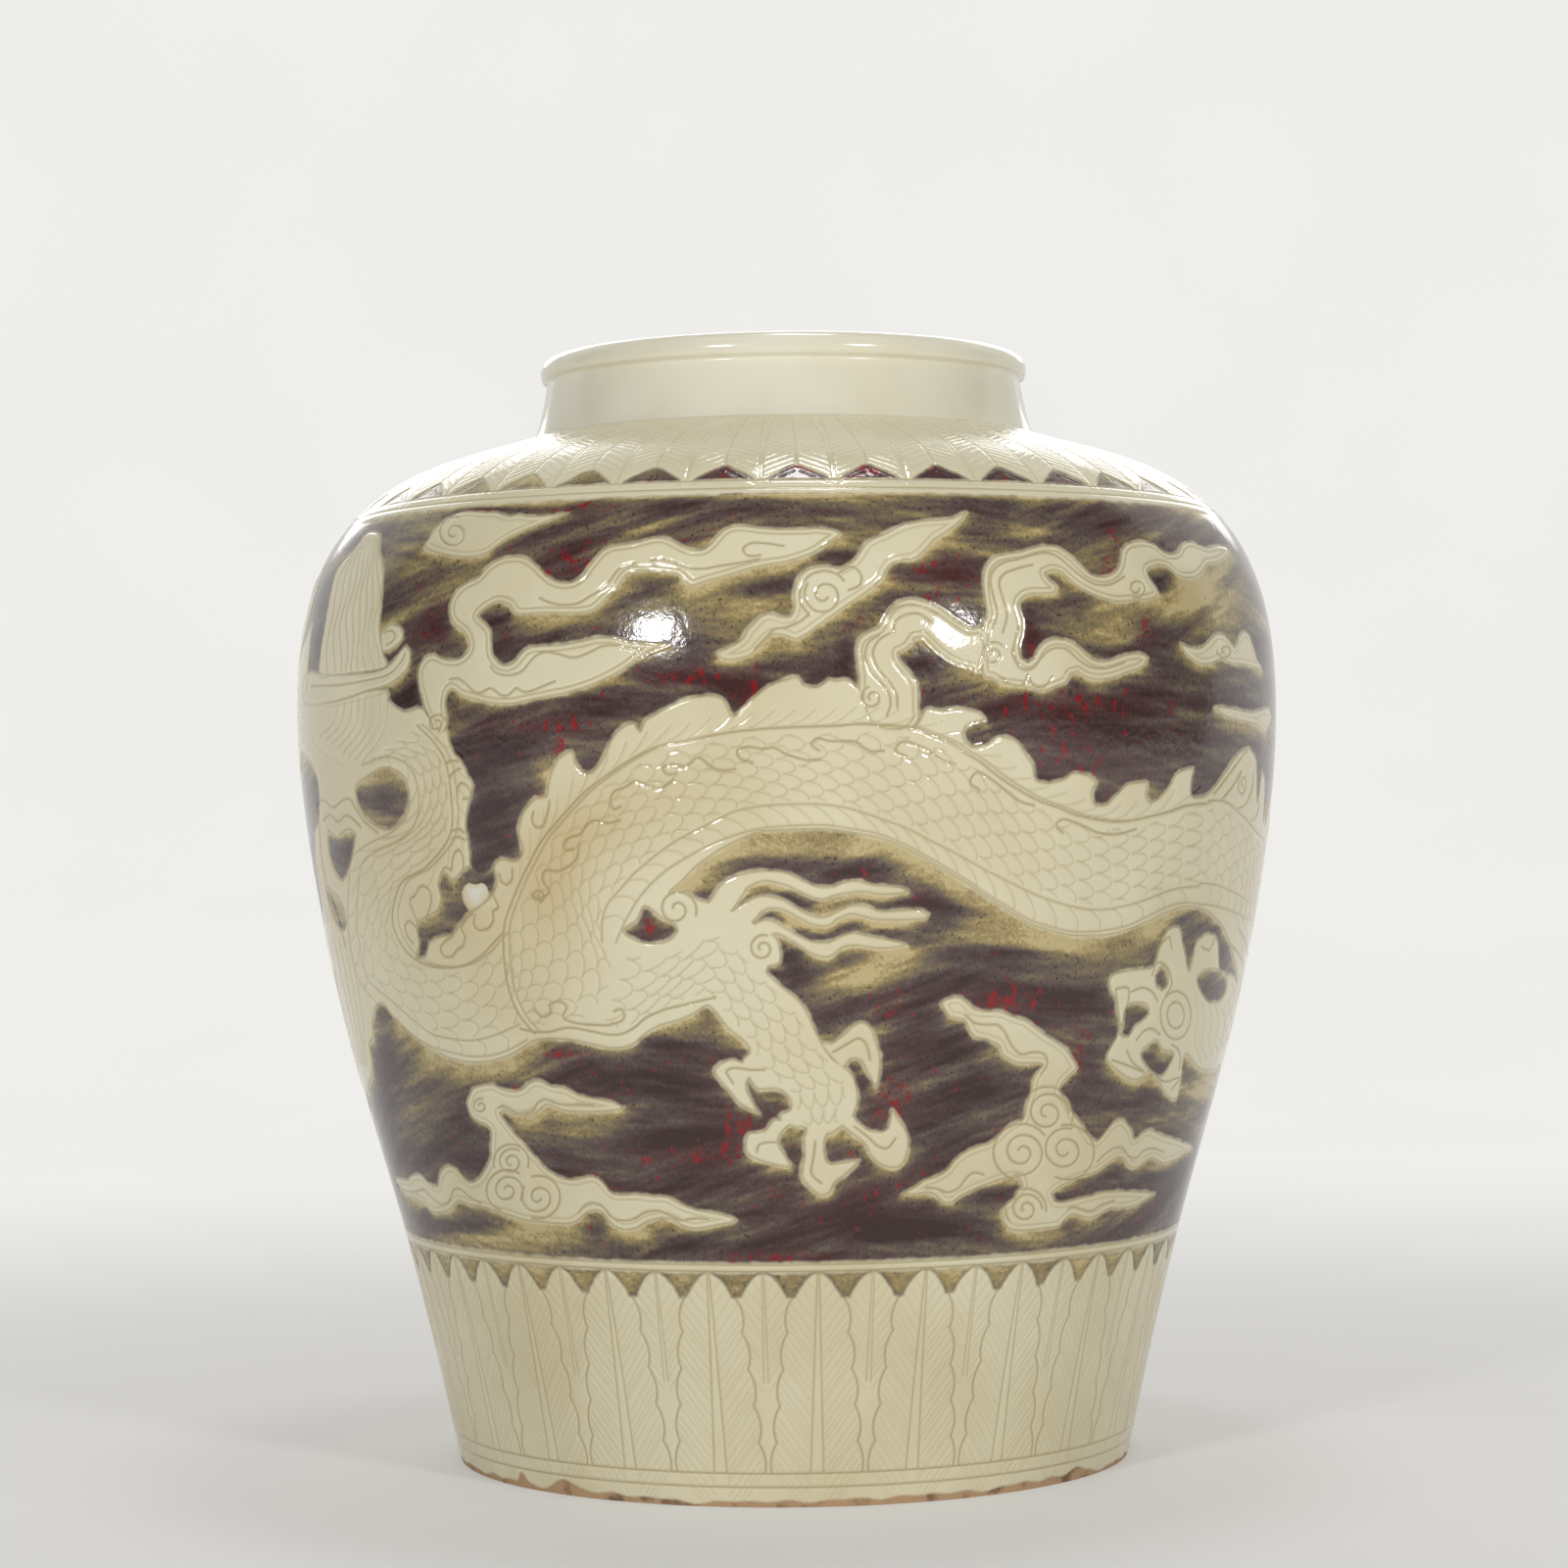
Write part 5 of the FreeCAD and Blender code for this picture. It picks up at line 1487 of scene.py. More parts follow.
def pigment_thickness_and_top_light():
    """How thick the brushed pigment lies: thin under a figure's lower edge, pooled above its upper edge, and
    thinned over the top of the band as painted light.
    """
    thickness = USUAL_PIGMENT + blots(PIGMENT_WASHES_AND_TOP_LIGHT) + BRUSH_STRENGTH * brush_marks() + bare_bands()
    thickness -= near_edge(HALO_REACH) * (HALO_AMOUNT + HALO_BELOW_AMOUNT * np.clip(-ground_slope, 0, 1))
    thickness += near_edge(POOL_REACH) * POOL_AMOUNT * np.clip(ground_slope, 0, 1)
    seam = np.exp(-((row_z - BELLY_JOINT_HEIGHT) / SEAM_HALF_WIDTH) ** 2)[:, None]
    thickness -= SEAM_AMOUNT * seam * np.clip(0.5 + ragged(*SEAM_STRETCHES), 0, 1)
    olive = OLIVE_PIGMENT + OLIVE_CLOUDING_SHARE * (thickness - USUAL_PIGMENT)
    olive += RIM_AMOUNT * near_edge(RIM_REACH)
    thickness = np.where((row_up < ground_low)[:, None], olive, thickness)
    dark = olive + DARK_DART_AMOUNT * dark_darts()
    thickness = np.where((row_up > ground_high)[:, None], dark, thickness)
    thinned = THIN_PIGMENT * np.exp(np.minimum(thickness / THIN_PIGMENT - 1, 0))
    return np.maximum(thickness, thinned).astype(np.float32)


# Red gathers in the given patches, and in ragged stretches where pigment has pooled
RED_POOL_REACH = 3.0
RED_POOL_AMOUNT = 0.8
RED_WAVE_UP = 0.05
RED_LIMIT = 1.6


def red_strength():
    pooled = near_edge(RED_POOL_REACH) * np.clip(ground_slope, 0, 1)
    stretches = ragged(*RED_STRETCHES)[None, :] + np.sin(RED_WAVE_UP * row_up)[:, None]
    gathered = RED_POOL_AMOUNT * pooled * np.clip(stretches, 0, 1)
    return np.clip(blots(RED_PATCHES) + gathered, 0, RED_LIMIT).astype(np.float32)


# Ragged edge of the glaze above the foot, and chips in it as (angle, half width as an angle, rise)
GLAZE_EDGE_HEIGHT = 2.6
GLAZE_EDGE_WAVER = 1.2
GLAZE_EDGE_SOFTNESS = 0.8
GLAZE_EDGE_STEP = 0.35
FOOT_CHIPS = [
    (-0.88, 0.020, 4.5), (-0.70, 0.045, 3.5), (0.93, 0.05, 3.0), (2.4, 0.03, 4.0), (-2.2, 0.05, 3.0)]


def bare_foot():
    """Where the clay is bare below the ragged edge of the glaze."""
    edge = GLAZE_EDGE_HEIGHT + GLAZE_EDGE_WAVER * ragged(*GLAZE_EDGE_WAVES)
    for chip_turn, half_width, rise in FOOT_CHIPS:
        edge += rise * np.exp(-((turn - chip_turn) / half_width) ** 2)
    bare = (edge[None, :] - row_z[:, None]) / GLAZE_EDGE_SOFTNESS + 0.5
    return np.clip(bare, 0, 1).astype(np.float32)


def glaze_drop():
    """The drop's rounded shape: two lobes above its centre, one long lobe below it."""
    across, down = pixel_x - GLAZE_DROP[0], pixel_y - GLAZE_DROP[1]
    half_height = np.where(down > 0, GLAZE_DROP_HALF_HEIGHT_BELOW, GLAZE_DROP_HALF_HEIGHT_ABOVE)
    distance = np.hypot(across / GLAZE_DROP_HALF_WIDTH, down / half_height)
    distance += GLAZE_DROP_LOBE_SHARE * np.cos(GLAZE_DROP_LOBE_WAVE * across) * (down < 0)
    return (np.clip(GLAZE_DROP_REACH_SHARE - distance, 0, 1) * on_front).astype(np.float32)


# The pigment's thickness, thinned over the top of the band by painted light
wash_and_top_light = pigment_thickness_and_top_light()
red = red_strength()
ochre_patch = np.clip(blots(OCHRE_PATCHES), 0, 1)
biscuit = bare_foot()
drop = glaze_drop()

# The ground's edge slopes down over a width, part of it inside the figure; no pigment shows in the drop
GROUND_SLOPE_WIDTH = 2.0
GROUND_SLOPE_INSIDE_SHARE = 0.4
DROP_GROUND_EDGE = 1.0
DROP_GROUND_FALL = 8.0

# The skin's depth: incised lines, the slightly sunk ground, the step at the glaze's edge and the glaze drop
sunk = np.clip(ground / GROUND_SLOPE_WIDTH + GROUND_SLOPE_INSIDE_SHARE, 0, 1)
relief = -LINE_DEPTH * groove - GROUND_DEPTH * sunk
relief -= GLAZE_EDGE_STEP * biscuit
relief += GLAZE_DROP_HEIGHT * np.sqrt(drop)
ground = np.where(drop > 0, np.minimum(ground, DROP_GROUND_EDGE - DROP_GROUND_FALL * drop), ground)


def skin_points(first_row, last_row):
    """The outer skin between two rows, as a grid of points."""
    rows = slice(first_row, last_row)
    depth = relief[rows]
    radius = row_r[rows, None] + depth * row_normal_r[rows, None]
    height = row_z[rows, None] + depth * row_normal_z[rows, None]
    return np.stack([radius * np.sin(turn), -radius * np.cos(turn), height], -1)


def ring_points(radii, heights):
    """Plain rings of points, one for each radius and height."""
    radii, heights = np.asarray(radii, float)[:, None], np.asarray(heights, float)[:, None]
    flat = heights + np.zeros_like(turn)
    return np.stack([radii * np.sin(turn), -radii * np.cos(turn), flat], -1)


def add_fields(mesh, fields):
    for field, values in fields.items():
        attribute = mesh.attributes.new(field, "FLOAT", "POINT")
        attribute.data.foreach_set("value", values.astype(np.float32).ravel())


# The unrolled rings are laid out in a few strips, each with a margin
BAKE_STRIPS = 3
BAKE_MARGIN = 0.02


def unwrap(mesh, points, rings, columns):
    """Lays the unrolled rings out in a few strips, so that a square holds them with little waste."""
    lengths = np.linalg.norm(np.roll(points[:, 0], -1, axis=0) - points[:, 0], axis=1)
    rise = np.concatenate([[0], np.cumsum(lengths)]) / lengths.sum()
    row, column = np.divmod(np.arange(rings * columns), columns)
    per_strip = -(-columns // BAKE_STRIPS)
    strip = column // per_strip
    left = (column - strip * per_strip) / per_strip
    right = left + 1 / per_strip
    u = BAKE_MARGIN + (1 - 2 * BAKE_MARGIN) * np.stack([left, right, right, left], 1)
    v = np.stack([rise[row], rise[row], rise[row + 1], rise[row + 1]], 1)
    v = (strip[:, None] + BAKE_MARGIN + (1 - 2 * BAKE_MARGIN) * v) / BAKE_STRIPS
    layer = mesh.uv_layers.new(name="OFBake")
    layer.data.foreach_set("uv", np.stack([u, v], -1).astype(np.float32).ravel())


def ring_mesh(name, points, sharp_rows, fields, material):
    """A closed mesh from rings of points, smooth but for sharp corners at some rings, with named fields."""
    rings, columns = points.shape[:2]
    index = np.arange(rings * columns).reshape(rings, columns)
    right = np.roll(index, -1, axis=1)
    above, above_right = np.roll(index, -1, axis=0), np.roll(right, -1, axis=0)
    faces = np.stack([index, right, above_right, above], -1).reshape(-1, 4)
    mesh = bpy.data.meshes.new(name)
    mesh.vertices.add(rings * columns)
    mesh.vertices.foreach_set("co", (points * MM).astype(np.float32).ravel())
    mesh.loops.add(faces.size)
    mesh.loops.foreach_set("vertex_index", faces.astype(np.int32).ravel())
    mesh.polygons.add(len(faces))
    mesh.polygons.foreach_set("loop_start", np.arange(0, faces.size, 4, dtype=np.int32))
    mesh.polygons.foreach_set("use_smooth", np.ones(len(faces), bool))
    mesh.update(calc_edges=True)
    edges = np.zeros(len(mesh.edges) * 2, np.int32)
    mesh.edges.foreach_get("vertices", edges)
    edge_rows = edges.reshape(-1, 2) // columns
    sharp = np.isin(edge_rows[:, 0], sharp_rows) & (edge_rows[:, 0] == edge_rows[:, 1])
    mesh.attributes.new("sharp_edge", "BOOLEAN", "EDGE").data.foreach_set("value", sharp)
    add_fields(mesh, fields)
    unwrap(mesh, points, rings, columns)
    mesh.validate()
    mesh.materials.append(material)
    piece = bpy.data.objects.new(name, mesh)
    bpy.context.scene.collection.objects.link(piece)
    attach(piece, "root")
    return piece


def inner_wall(first_row, last_row):
    """Radii and heights of the inside of the wall between two rows, from top to bottom."""
    count = max(3, int((row_up[last_row - 1] - row_up[first_row]) / INNER_ROW_STEP))
    rows = np.linspace(last_row - 1, first_row, count).astype(int)
    radii = row_r[rows] - BODY_WALL * row_normal_r[rows]
    heights = row_z[rows] - BODY_WALL * row_normal_z[rows]
    return radii, heights


# What the skin's fields hold, with the value that each has on the inside of the wall
SKIN_FIELDS = {
    "ground": (ground, -EDGE_REACH), "groove": (groove, 0), "wash_and_top_light": (wash_and_top_light, 0), "red": (red, 0),
    "ochre_patch": (ochre_patch, 0), "biscuit": (biscuit, 0), "drop": (drop, 0), "inside": (np.zeros_like(ground), 1)}


def wall_piece(name, first_row, last_row, radii, heights, nodes, material):
    """A thrown section of the wall: the decorated outside, then the plain inside from top to bottom."""
    inside = ring_points(radii, heights)
    points = np.concatenate([skin_points(first_row, last_row), inside])
    fields = {}
    for field, (values, inside_value) in SKIN_FIELDS.items():
        plain_values = np.full(inside.shape[:2], float(inside_value))
        fields[field] = np.concatenate([values[first_row:last_row], plain_values])
    count = last_row - first_row
    piece = ring_mesh(name, points, [0, count - 1, count, len(points) - 1], fields, material)
    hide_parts(*nodes)


# Materials
def linear(red_value, green_value, blue_value):
    """A colour given in everyday 0-255 values, as linear shares of light."""
    shares = [value / 255 for value in (red_value, green_value, blue_value)]
    return tuple(((s + 0.055) / 1.055) ** 2.4 if s > 0.04045 else s / 12.92 for s in shares) + (1.0,)


CREAM = linear(229, 221, 189)
CREAM_DEEP = linear(219, 208, 171)
# The neck's glaze is paler than the body's; its lighter cream is also painted light, raised for the strong
# light on the neck
NECK_CREAM_AND_PAINTED_LIGHT = linear(240, 236, 216)
NECK_CREAM_DEEP = linear(234, 227, 202)
DROP_WHITE = linear(228, 224, 211)
PATCH_OCHRE = linear(203, 178, 124)
GROOVE_OLIVE = linear(158, 138, 84)
PIGMENT_WARM = linear(104, 46, 48)
PEPPER_DARK = linear(46, 36, 30)
FLECK_RED = linear(146, 16, 21)
BISCUIT_ORANGE = linear(188, 156, 120)
BISCUIT_BROWN = linear(128, 100, 74)
INSIDE_CREAM = linear(214, 206, 178)
FLOOR_CLAY = linear(196, 176, 146)
FLOOR_CLAY_DARK = linear(170, 146, 116)
SLIP_CLAY = linear(206, 190, 162)
SLIP_CLAY_DARK = linear(180, 158, 128)
PAPER = linear(236, 235, 232)
PAPER_LIGHT = linear(241, 240, 237)
WORLD_GREY = linear(236, 236, 236)
BACKDROP_GREY = linear(238, 237, 234)

# The pigment's shades from a bare film to the thickest coat, as (thickness, colour)
PIGMENT_SHADES = [
    (0.00, linear(200, 182, 133)), (0.11, linear(172, 152, 103)), (0.27, linear(140, 125, 88)),
    (0.43, linear(116, 102, 83)), (0.59, linear(93, 78, 73)), (0.79, linear(78, 58, 55)),
    (1.00, linear(58, 37, 35))]

# How strongly each colour shows, and how much each grain changes the thickness of the pigment, as shares
OCHRE_PATCH_SHARE = 0.8
GROOVE_SHARE = 0.68
GRAIN_SHARE = 0.30
BLOTCH_SHARE = 0.85
STIPPLE_SHARE = 0.40
WARMTH_SHARE = 0.28
FLECK_SHARE = 0.85
PEPPER_SHARE = 0.7

# Red flecks: the noise level above which they show, how far a red patch lowers it, and how soft they are
FLECK_LEVEL = 0.668
FLECK_LEVEL_DROP = 0.13
FLECK_SOFTNESS = 0.04

GLAZE_IOR = 1.5
CREAM_ROUGHNESS = 0.06
PIGMENT_EXTRA_ROUGHNESS = 0.06
BISCUIT_ROUGHNESS = 0.8
NECK_ROUGHNESS = 0.12
NECK_EXTRA_ROUGHNESS = 0.06
CLAY_ROUGHNESS = 0.68
CLAY_EXTRA_ROUGHNESS = 0.2

# Noises in the glaze, pigment, clay and paper
CREAM_CLOUDS = {"scale": 14.0, "detail": 3.0}
NECK_CLOUDS = {"scale": 18.0, "detail": 3.0}
PIGMENT_GRAIN = {"scale": 230.0, "detail": 3.0, "roughness": 0.6, "stretch": (1, 1, 1.6)}
PIGMENT_BLOTCHES = {"scale": 22.0, "detail": 5.0, "roughness": 0.6, "warp": 0.5, "stretch": (1, 1, 1.8)}
PIGMENT_STIPPLE = {"scale": 800.0, "detail": 2.0}
RED_FLECKS = {"scale": 230.0, "detail": 3.0, "roughness": 0.6, "stretch": (1.6, 1.6, 0.75)}
PEPPER_SPOTS = {"scale": 560.0, "detail": 2.0}
PAINT_EDGE = {"scale": 170.0}
BISCUIT_CLOUDS = {"scale": 90.0, "detail": 5.0}
GLAZE_RIPPLE = {"scale": 240.0, "detail": 3.0}
NECK_RIPPLE = {"scale": 180.0, "detail": 3.0}
CLAY_GRAIN = {"scale": 160.0, "detail": 6.0, "roughness": 0.65}
PAPER_CLOUDS = {"scale": 3.0, "detail": 2.0}

# The two values between which one colour gives way to another
CREAM_LIMITS = (0.35, 0.75)
GROOVE_LIMITS = (0.08, 1.0)
DROP_LIMITS = (0.2, 0.9)
RED_PIGMENT_LIMITS = (0.25, 0.6)
PEPPER_LIMITS = (0.59, 0.70)
PEPPER_PIGMENT_LIMITS = (0.02, 0.26)
PAINT_EDGE_LIMITS = (-0.9, 1.3)
PAINT_EDGE_WAVER = 2.4
BISCUIT_LIMITS = (0.5, 0.68)
CLAY_LIMITS = (0.4, 0.7)


class Nodes:
    """A short way to write a material's nodes."""

    def __init__(self, name):
        self.material = bpy.data.materials.new(name)
        self.material.use_nodes = True
        self.tree = self.material.node_tree
        self.shader = self.tree.nodes["Principled BSDF"]

    def add(self, kind, **values):
        node = self.tree.nodes.new(kind)
        for key, value in values.items():
            setattr(node, key, value)
        return node

    def link(self, source, target):
        if isinstance(source, bpy.types.NodeSocket):
            self.tree.links.new(source, target)
        else:
            target.default_value = source

    def finish(self, **inputs):
        """Links values to the shader's inputs, which are named with underscores for spaces."""
        for name, value in inputs.items():
            self.link(value, self.shader.inputs[name.replace("_", " ")])
        return self.material

    def field(self, name):
        return self.add("ShaderNodeAttribute", attribute_name=name).outputs["Fac"]

    def noise(self, scale, detail=4.0, roughness=0.55, warp=0.0, stretch=(1, 1, 1)):
        """Noise in object coordinates that are stretched along each axis."""
        mapping = self.add("ShaderNodeMapping")
        mapping.inputs["Scale"].default_value = stretch
        self.link(self.add("ShaderNodeTexCoord").outputs["Object"], mapping.inputs["Vector"])
        node = self.add("ShaderNodeTexNoise")
        settings = {"Scale": scale, "Detail": detail, "Roughness": roughness, "Distortion": warp}
        for name, value in {**settings, "Vector": mapping.outputs["Vector"]}.items():
            self.link(value, node.inputs[name])
        return node.outputs["Fac"]

    def math(self, operation, first, second=0.0, third=0.0):
        node = self.add("ShaderNodeMath", operation=operation)
        for socket, value in zip(node.inputs, (first, second, third)):
            self.link(value, socket)
        return node.outputs[0]

    def times(self, first, second):
        return self.math("MULTIPLY", first, second)

    def times_plus(self, first, second, third):
        return self.math("MULTIPLY_ADD", first, second, third)

    def waver(self, scale, **settings):
        """Noise about zero."""
        return self.math("SUBTRACT", self.noise(scale, **settings), 0.5)

    def ramp(self, value, low, high):
        """Zero at low, one at high, eased between."""
        node = self.add("ShaderNodeMapRange", interpolation_type="SMOOTHSTEP")
        for name, source in {"Value": value, "From Min": low, "From Max": high}.items():
            self.link(source, node.inputs[name])
        return node.outputs["Result"]

    def mix(self, share, first, second):
        """Two colours mixed, whose sockets are 6 and 7 in this node, with the result at 2."""
        node = self.add("ShaderNodeMix", data_type="RGBA")
        for socket, source in {0: share, 6: first, 7: second}.items():
            self.link(source, node.inputs[socket])
        return node.outputs[2]

    def shades(self, value, stops):
        """A colour that runs through shades, given as (place, colour)."""
        node = self.add("ShaderNodeValToRGB")
        self.link(value, node.inputs["Fac"])
        elements = node.color_ramp.elements
        elements[0].position, elements[0].color = stops[0]
        elements[1].position, elements[1].color = stops[-1]
        for place, colour in stops[1:-1]:
            elements.new(place).color = colour
        return node.outputs["Color"]

    def bump(self, height, distance, strength, normal=None):
        node = self.add("ShaderNodeBump")
        for name, source in {"Distance": distance, "Strength": strength, "Height": height}.items():
            self.link(source, node.inputs[name])
        if normal is not None:
            self.link(normal, node.inputs["Normal"])
        return node.outputs["Normal"]


def pale_glaze(n):
    """The colour of the pale glaze, with ochre patches, olive in the incised lines and the white drop."""
    cream = n.mix(n.ramp(n.noise(**CREAM_CLOUDS), *CREAM_LIMITS), CREAM, CREAM_DEEP)
    cream = n.mix(n.times(n.field("ochre_patch"), OCHRE_PATCH_SHARE), cream, PATCH_OCHRE)
    cream = n.mix(n.times(n.ramp(n.field("groove"), *GROOVE_LIMITS), GROOVE_SHARE), cream, GROOVE_OLIVE)
    return n.mix(n.ramp(n.field("drop"), *DROP_LIMITS), cream, DROP_WHITE)


def copper_pigment(n):
    """The colour of the brushed pigment: shades of thickness, warm patches, red flecks and dark pepper."""
    grain = n.waver(**PIGMENT_GRAIN)
    blotches = n.waver(**PIGMENT_BLOTCHES)
    stipple = n.waver(**PIGMENT_STIPPLE)
    thickness = n.times_plus(grain, GRAIN_SHARE, n.field("wash_and_top_light"))
    thickness = n.times_plus(blotches, BLOTCH_SHARE, thickness)
    thickness = n.times_plus(stipple, STIPPLE_SHARE, thickness)
    thick_enough = n.ramp(thickness, *RED_PIGMENT_LIMITS)
    warmth = n.times(n.times(n.field("red"), WARMTH_SHARE), thick_enough)
    pigment = n.mix(warmth, n.shades(thickness, PIGMENT_SHADES), PIGMENT_WARM)
    fleck_noise = n.noise(**RED_FLECKS)
    fleck_level = n.times_plus(n.field("red"), -FLECK_LEVEL_DROP, FLECK_LEVEL)
    fleck = n.ramp(fleck_noise, fleck_level, n.math("ADD", fleck_level, FLECK_SOFTNESS))
    pigment = n.mix(n.times(n.times(fleck, thick_enough), FLECK_SHARE), pigment, FLECK_RED)
    spots = n.ramp(n.noise(**PEPPER_SPOTS), *PEPPER_LIMITS)
    pepper = n.times(spots, n.ramp(thickness, *PEPPER_PIGMENT_LIMITS))
    return n.mix(n.times(pepper, PEPPER_SHARE), pigment, PEPPER_DARK)


def decorated_glaze():
    """Pale glaze over incised lines, brushed copper pigment on the ground and bare clay at the foot."""
    n = Nodes("decorated_glaze")
    edge = n.times_plus(n.waver(**PAINT_EDGE), PAINT_EDGE_WAVER, n.field("ground"))
    painted = n.ramp(edge, *PAINT_EDGE_LIMITS)
    colour = n.mix(painted, pale_glaze(n), copper_pigment(n))
    bare = n.mix(n.ramp(n.noise(**BISCUIT_CLOUDS), *BISCUIT_LIMITS), BISCUIT_ORANGE, BISCUIT_BROWN)
    colour = n.mix(n.field("biscuit"), colour, bare)
    colour = n.mix(n.field("inside"), colour, INSIDE_CREAM)
    gloss = n.times_plus(painted, PIGMENT_EXTRA_ROUGHNESS, CREAM_ROUGHNESS)
    roughness = n.math("MAXIMUM", gloss, n.times(n.field("biscuit"), BISCUIT_ROUGHNESS))
    fine = n.bump(n.noise(**GLAZE_RIPPLE), distance=0.0007, strength=0.20)
    cut = n.bump(n.math("SUBTRACT", 1.0, n.field("groove")), distance=0.0005, strength=0.3, normal=fine)
    return n.finish(Base_Color=colour, Roughness=roughness, IOR=GLAZE_IOR, Normal=cut)


def plain_glaze():
    """The pale glaze without decoration, for the neck and lip, paler than the body's and lifted further by
    painted light.
    """
    n = Nodes("plain_glaze")
    clouding = n.noise(**NECK_CLOUDS)
    colour = n.mix(n.ramp(clouding, *CREAM_LIMITS), NECK_CREAM_AND_PAINTED_LIGHT, NECK_CREAM_DEEP)
    fine = n.bump(n.noise(**NECK_RIPPLE), distance=0.0006, strength=0.10)
    roughness = n.times_plus(clouding, NECK_EXTRA_ROUGHNESS, NECK_ROUGHNESS)
    return n.finish(Base_Color=colour, Roughness=roughness, IOR=GLAZE_IOR, Normal=fine)


def bare_clay(name, light, dark):
    """Unglazed fired clay."""
    n = Nodes(name)
    grain = n.noise(**CLAY_GRAIN)
    colour = n.mix(n.ramp(grain, *CLAY_LIMITS), light, dark)
    rough = n.bump(grain, distance=0.0008, strength=0.35)
    roughness = n.times_plus(grain, CLAY_EXTRA_ROUGHNESS, CLAY_ROUGHNESS)
    return n.finish(Base_Color=colour, Roughness=roughness, Normal=rough)


# The three body sections meet at the joints' heights
lower_row = int(round(up_at_height(LOWER_JOINT_HEIGHT) / row_gap))
belly_row = int(round(up_at_height(BELLY_JOINT_HEIGHT) / row_gap))
decorated = decorated_glaze()


def foot_piece():
    """The lower wall, whose inside ends at the foot ring."""
    first_row = int(up_at_height(FLOOR_TOP + INNER_WALL_ABOVE_FLOOR) / row_gap)
    radii, heights = inner_wall(first_row, lower_row + 1)
    ring_radius = WALL_RADII[0] - FOOT_WIDTH
    radii = np.concatenate([radii, [ring_radius, ring_radius]])
    heights = np.concatenate([heights, [FLOOR_TOP, 0.0]])
    wall_piece("jar_foot", 0, lower_row + 1, radii, heights, ["foot_section", "lower_luting"], decorated)


def belly_piece():
    """The wall between the lower joint and the joint at the belly."""
    radii, heights = inner_wall(lower_row, belly_row + 1)
    nodes = ["belly_section", "belly_luting"]
    wall_piece("jar_belly", lower_row, belly_row + 1, radii, heights, nodes, decorated)


def shoulder_piece():
    """The wall from the joint at the belly to the root of the neck, whose inside starts at the bore."""
    radii, heights = inner_wall(belly_row, int(up_at_height(CROWN_HEIGHT) / row_gap))
    radii = np.concatenate([[MOUTH_RADIUS], radii])
    heights = np.concatenate([[NECK_BOTTOM], heights])
    nodes = ["shoulder_section", "neck_luting"]
    wall_piece("jar_shoulder", belly_row, ROWS, radii, heights, nodes, decorated)


def neck_piece():
    """The short neck with its rolled lip: a slightly hollow side, the roll and the bore."""
    lip_centre = np.array([MOUTH_RADIUS + LIP_ROLL_RADIUS, TOTAL_HEIGHT - LIP_ROLL_RADIUS])
    groove_angle = -math.acos((LIP_ROLL_RADIUS - LIP_STEP) / LIP_ROLL_RADIUS)
    root = np.array([WALL_RADII[-1], WALL_HEIGHTS[-1]])
    under_lip = lip_centre + LIP_ROLL_RADIUS * np.array([math.cos(groove_angle), math.sin(groove_angle)])
    share = np.linspace(0, 1, NECK_SIDE_POINTS)[:, None]
    hollow = NECK_HOLLOW * (1 - (1 - share) ** NECK_HOLLOW_POWER)
    side = root + (under_lip - root) * share - hollow * (1, 0)
    angle = np.linspace(groove_angle + LIP_GROOVE_TURN, math.pi, LIP_POINTS)[:, None]
    roll = lip_centre + LIP_ROLL_RADIUS * np.hstack([np.cos(angle), np.sin(angle)])
    bore_heights = np.linspace(lip_centre[1] - BORE_START_BELOW_LIP, NECK_BOTTOM, BORE_POINTS)
    bore = np.stack([np.full_like(bore_heights, MOUTH_RADIUS), bore_heights], 1)
    points = ring_points(*np.vstack([side, roll, bore]).T)
    piece = ring_mesh("jar_neck", points, [0, len(points) - 1], {}, plain_glaze())
    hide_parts("neck_section")


def dress_floor():
    """Clay for the floor disc and for the slip around it, which keep their own shapes."""
    clays = {
        "floor_disc": bare_clay("floor_clay", FLOOR_CLAY, FLOOR_CLAY_DARK),
        "floor_luting": bare_clay("slip_clay", SLIP_CLAY, SLIP_CLAY_DARK)}
    for node, clay in clays.items():
        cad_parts[node].data.materials.clear()
        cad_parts[node].data.materials.append(clay)


foot_piece()
belly_piece()
shoulder_piece()
neck_piece()
dress_floor()

# Studio, in metres: a paper sweep whose floor takes the jar's shadow, with a plain rise behind
FLOOR_FRONT = -4.0
SWEEP_START = 1.6
SWEEP_RADIUS = 1.2
BACKDROP_TOP = 5.0
PAPER_HALF_WIDTH = 6.0
PAPER_ROUGHNESS = 0.9

# The paper glows by itself where it is only looked at: how much beside the jar, and by which distance fully
GLOW_NEAR_SHARE = 0.3
GLOW_FROM = 0.25
GLOW_FULL_FROM = 1.5

# Soft lights as (name, place, target, size, power)
LIGHTS = [
    ("left_softbox", (-1.15, -2.10, 0.95), (0, 0, 0.3), (0.32, 0.24), 18),
    ("right_softbox", (1.42, -1.95, 0.93), (0, 0, 0.3), (0.32, 0.24), 18),
    ("back_panel", (0, 2.2, 1.5), (0, 0, 0.3), (2.6, 1.2), 20),
    ("overhead_softbox", (0.10, 0.15, 2.0), (0, 0, 0.4), (0.40, 0.30), 5)]
WORLD_STRENGTH = 0.24


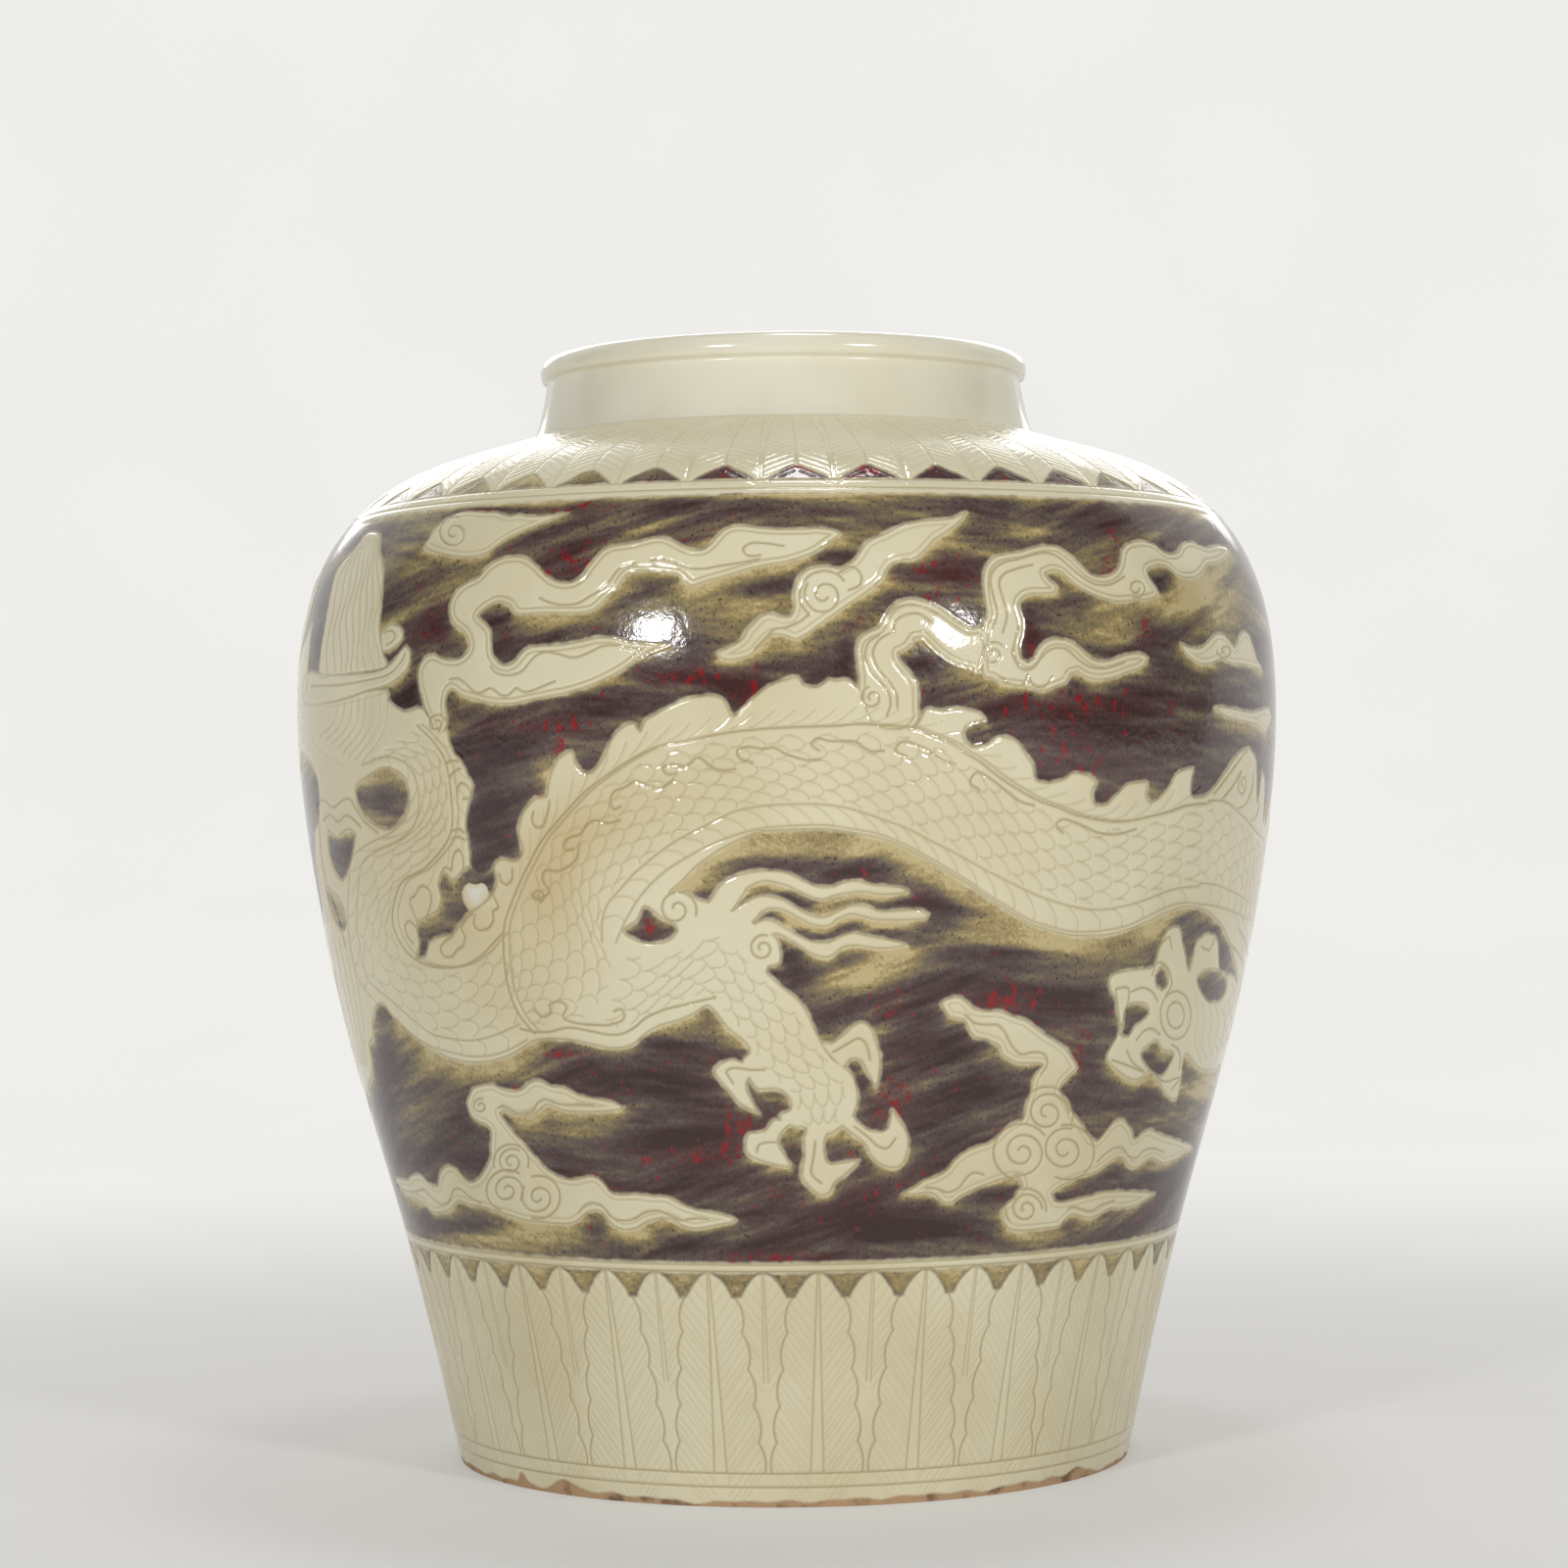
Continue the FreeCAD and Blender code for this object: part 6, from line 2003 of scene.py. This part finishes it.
def studio_paper():
    """Matt paper that shows its own colour to the camera and in reflections, and a shadow near the jar."""
    n = Nodes("studio_paper")
    paper = n.mix(n.noise(**PAPER_CLOUDS), PAPER, PAPER_LIGHT)
    place = n.add("ShaderNodeSeparateXYZ")
    n.link(n.add("ShaderNodeTexCoord").outputs["Object"], place.inputs["Vector"])
    rays = n.add("ShaderNodeLightPath")
    seen = n.math("MAXIMUM", rays.outputs["Is Camera Ray"], rays.outputs["Is Glossy Ray"])
    seen = n.math("MAXIMUM", seen, rays.outputs["Is Transmission Ray"])
    across = n.times(place.outputs["X"], place.outputs["X"])
    away = n.math("SQRT", n.times_plus(place.outputs["Y"], place.outputs["Y"], across))
    glow_share = n.times_plus(n.ramp(away, GLOW_FROM, GLOW_FULL_FROM), 1 - GLOW_NEAR_SHARE, GLOW_NEAR_SHARE)
    glow = n.add("ShaderNodeEmission")
    n.link(paper, glow.inputs["Color"])
    both = n.add("ShaderNodeMixShader")
    n.link(n.times(seen, glow_share), both.inputs["Fac"])
    n.link(n.shader.outputs["BSDF"], both.inputs[1])
    n.link(glow.outputs["Emission"], both.inputs[2])
    n.link(both.outputs["Shader"], n.tree.nodes["Material Output"].inputs["Surface"])
    return n.finish(Base_Color=paper, Roughness=PAPER_ROUGHNESS)


def paper_sweep():
    """The floor, which bends up into the backdrop."""
    line = [(FLOOR_FRONT, 0.0)]
    for angle in np.linspace(0, math.pi / 2, SWEEP_POINTS):
        line.append((SWEEP_START + SWEEP_RADIUS * math.sin(angle), SWEEP_RADIUS * (1 - math.cos(angle))))
    line.append((SWEEP_START + SWEEP_RADIUS, BACKDROP_TOP))
    vertices = [(x, y, z) for y, z in line for x in (-PAPER_HALF_WIDTH, PAPER_HALF_WIDTH)]
    faces = [(2 * i, 2 * i + 1, 2 * i + 3, 2 * i + 2) for i in range(len(line) - 1)]
    mesh = bpy.data.meshes.new("studio_floor")
    mesh.from_pydata(vertices, [], faces)
    for polygon in mesh.polygons:
        polygon.use_smooth = True
    mesh.materials.append(studio_paper())
    floor = bpy.data.objects.new("studio_floor", mesh)
    bpy.context.scene.collection.objects.link(floor)


def soft_light(name, place, target, size, power):
    data = bpy.data.lights.new(name, "AREA")
    data.shape = "RECTANGLE"
    data.size, data.size_y = size
    data.energy = power
    light = bpy.data.objects.new(name, data)
    bpy.context.scene.collection.objects.link(light)
    light.location = place
    direction = Vector(target) - Vector(place)
    light.rotation_euler = direction.to_track_quat("-Z", "Y").to_euler()


def studio_world():
    """Dim even light from all around, which the camera sees as plain paper."""
    world = bpy.data.worlds.new("studio_world")
    bpy.context.scene.world = world
    world.use_nodes = True
    nodes, links = world.node_tree.nodes, world.node_tree.links
    nodes["Background"].inputs["Color"].default_value = WORLD_GREY
    nodes["Background"].inputs["Strength"].default_value = WORLD_STRENGTH
    backdrop = nodes.new("ShaderNodeBackground")
    backdrop.inputs["Color"].default_value = BACKDROP_GREY
    which = nodes.new("ShaderNodeMixShader")
    links.new(nodes.new("ShaderNodeLightPath").outputs["Is Camera Ray"], which.inputs["Fac"])
    links.new(nodes["Background"].outputs["Background"], which.inputs[1])
    links.new(backdrop.outputs["Background"], which.inputs[2])
    links.new(which.outputs["Shader"], nodes["World Output"].inputs["Surface"])


def photo_camera():
    """The camera at the photograph's place."""
    data = bpy.data.cameras.new("photo_camera")
    data.sensor_width = SENSOR_WIDTH
    data.lens = FOCAL_PIXELS / IMAGE_SIZE * SENSOR_WIDTH
    camera = bpy.data.objects.new("photo_camera", data)
    bpy.context.scene.collection.objects.link(camera)
    place = Matrix.Translation((CAMERA_X * MM, -CAMERA_DISTANCE * MM, CAMERA_HEIGHT * MM))
    upright = Matrix.Rotation(math.pi / 2 - CAMERA_PITCH_DOWN, 4, "X")
    camera.matrix_world = place @ upright @ Matrix.Rotation(-CAMERA_ROLL, 4, "Z")
    bpy.context.scene.camera = camera


paper_sweep()
for light in LIGHTS:
    soft_light(*light)
studio_world()
photo_camera()
bpy.context.scene.view_settings.view_transform = "Standard"
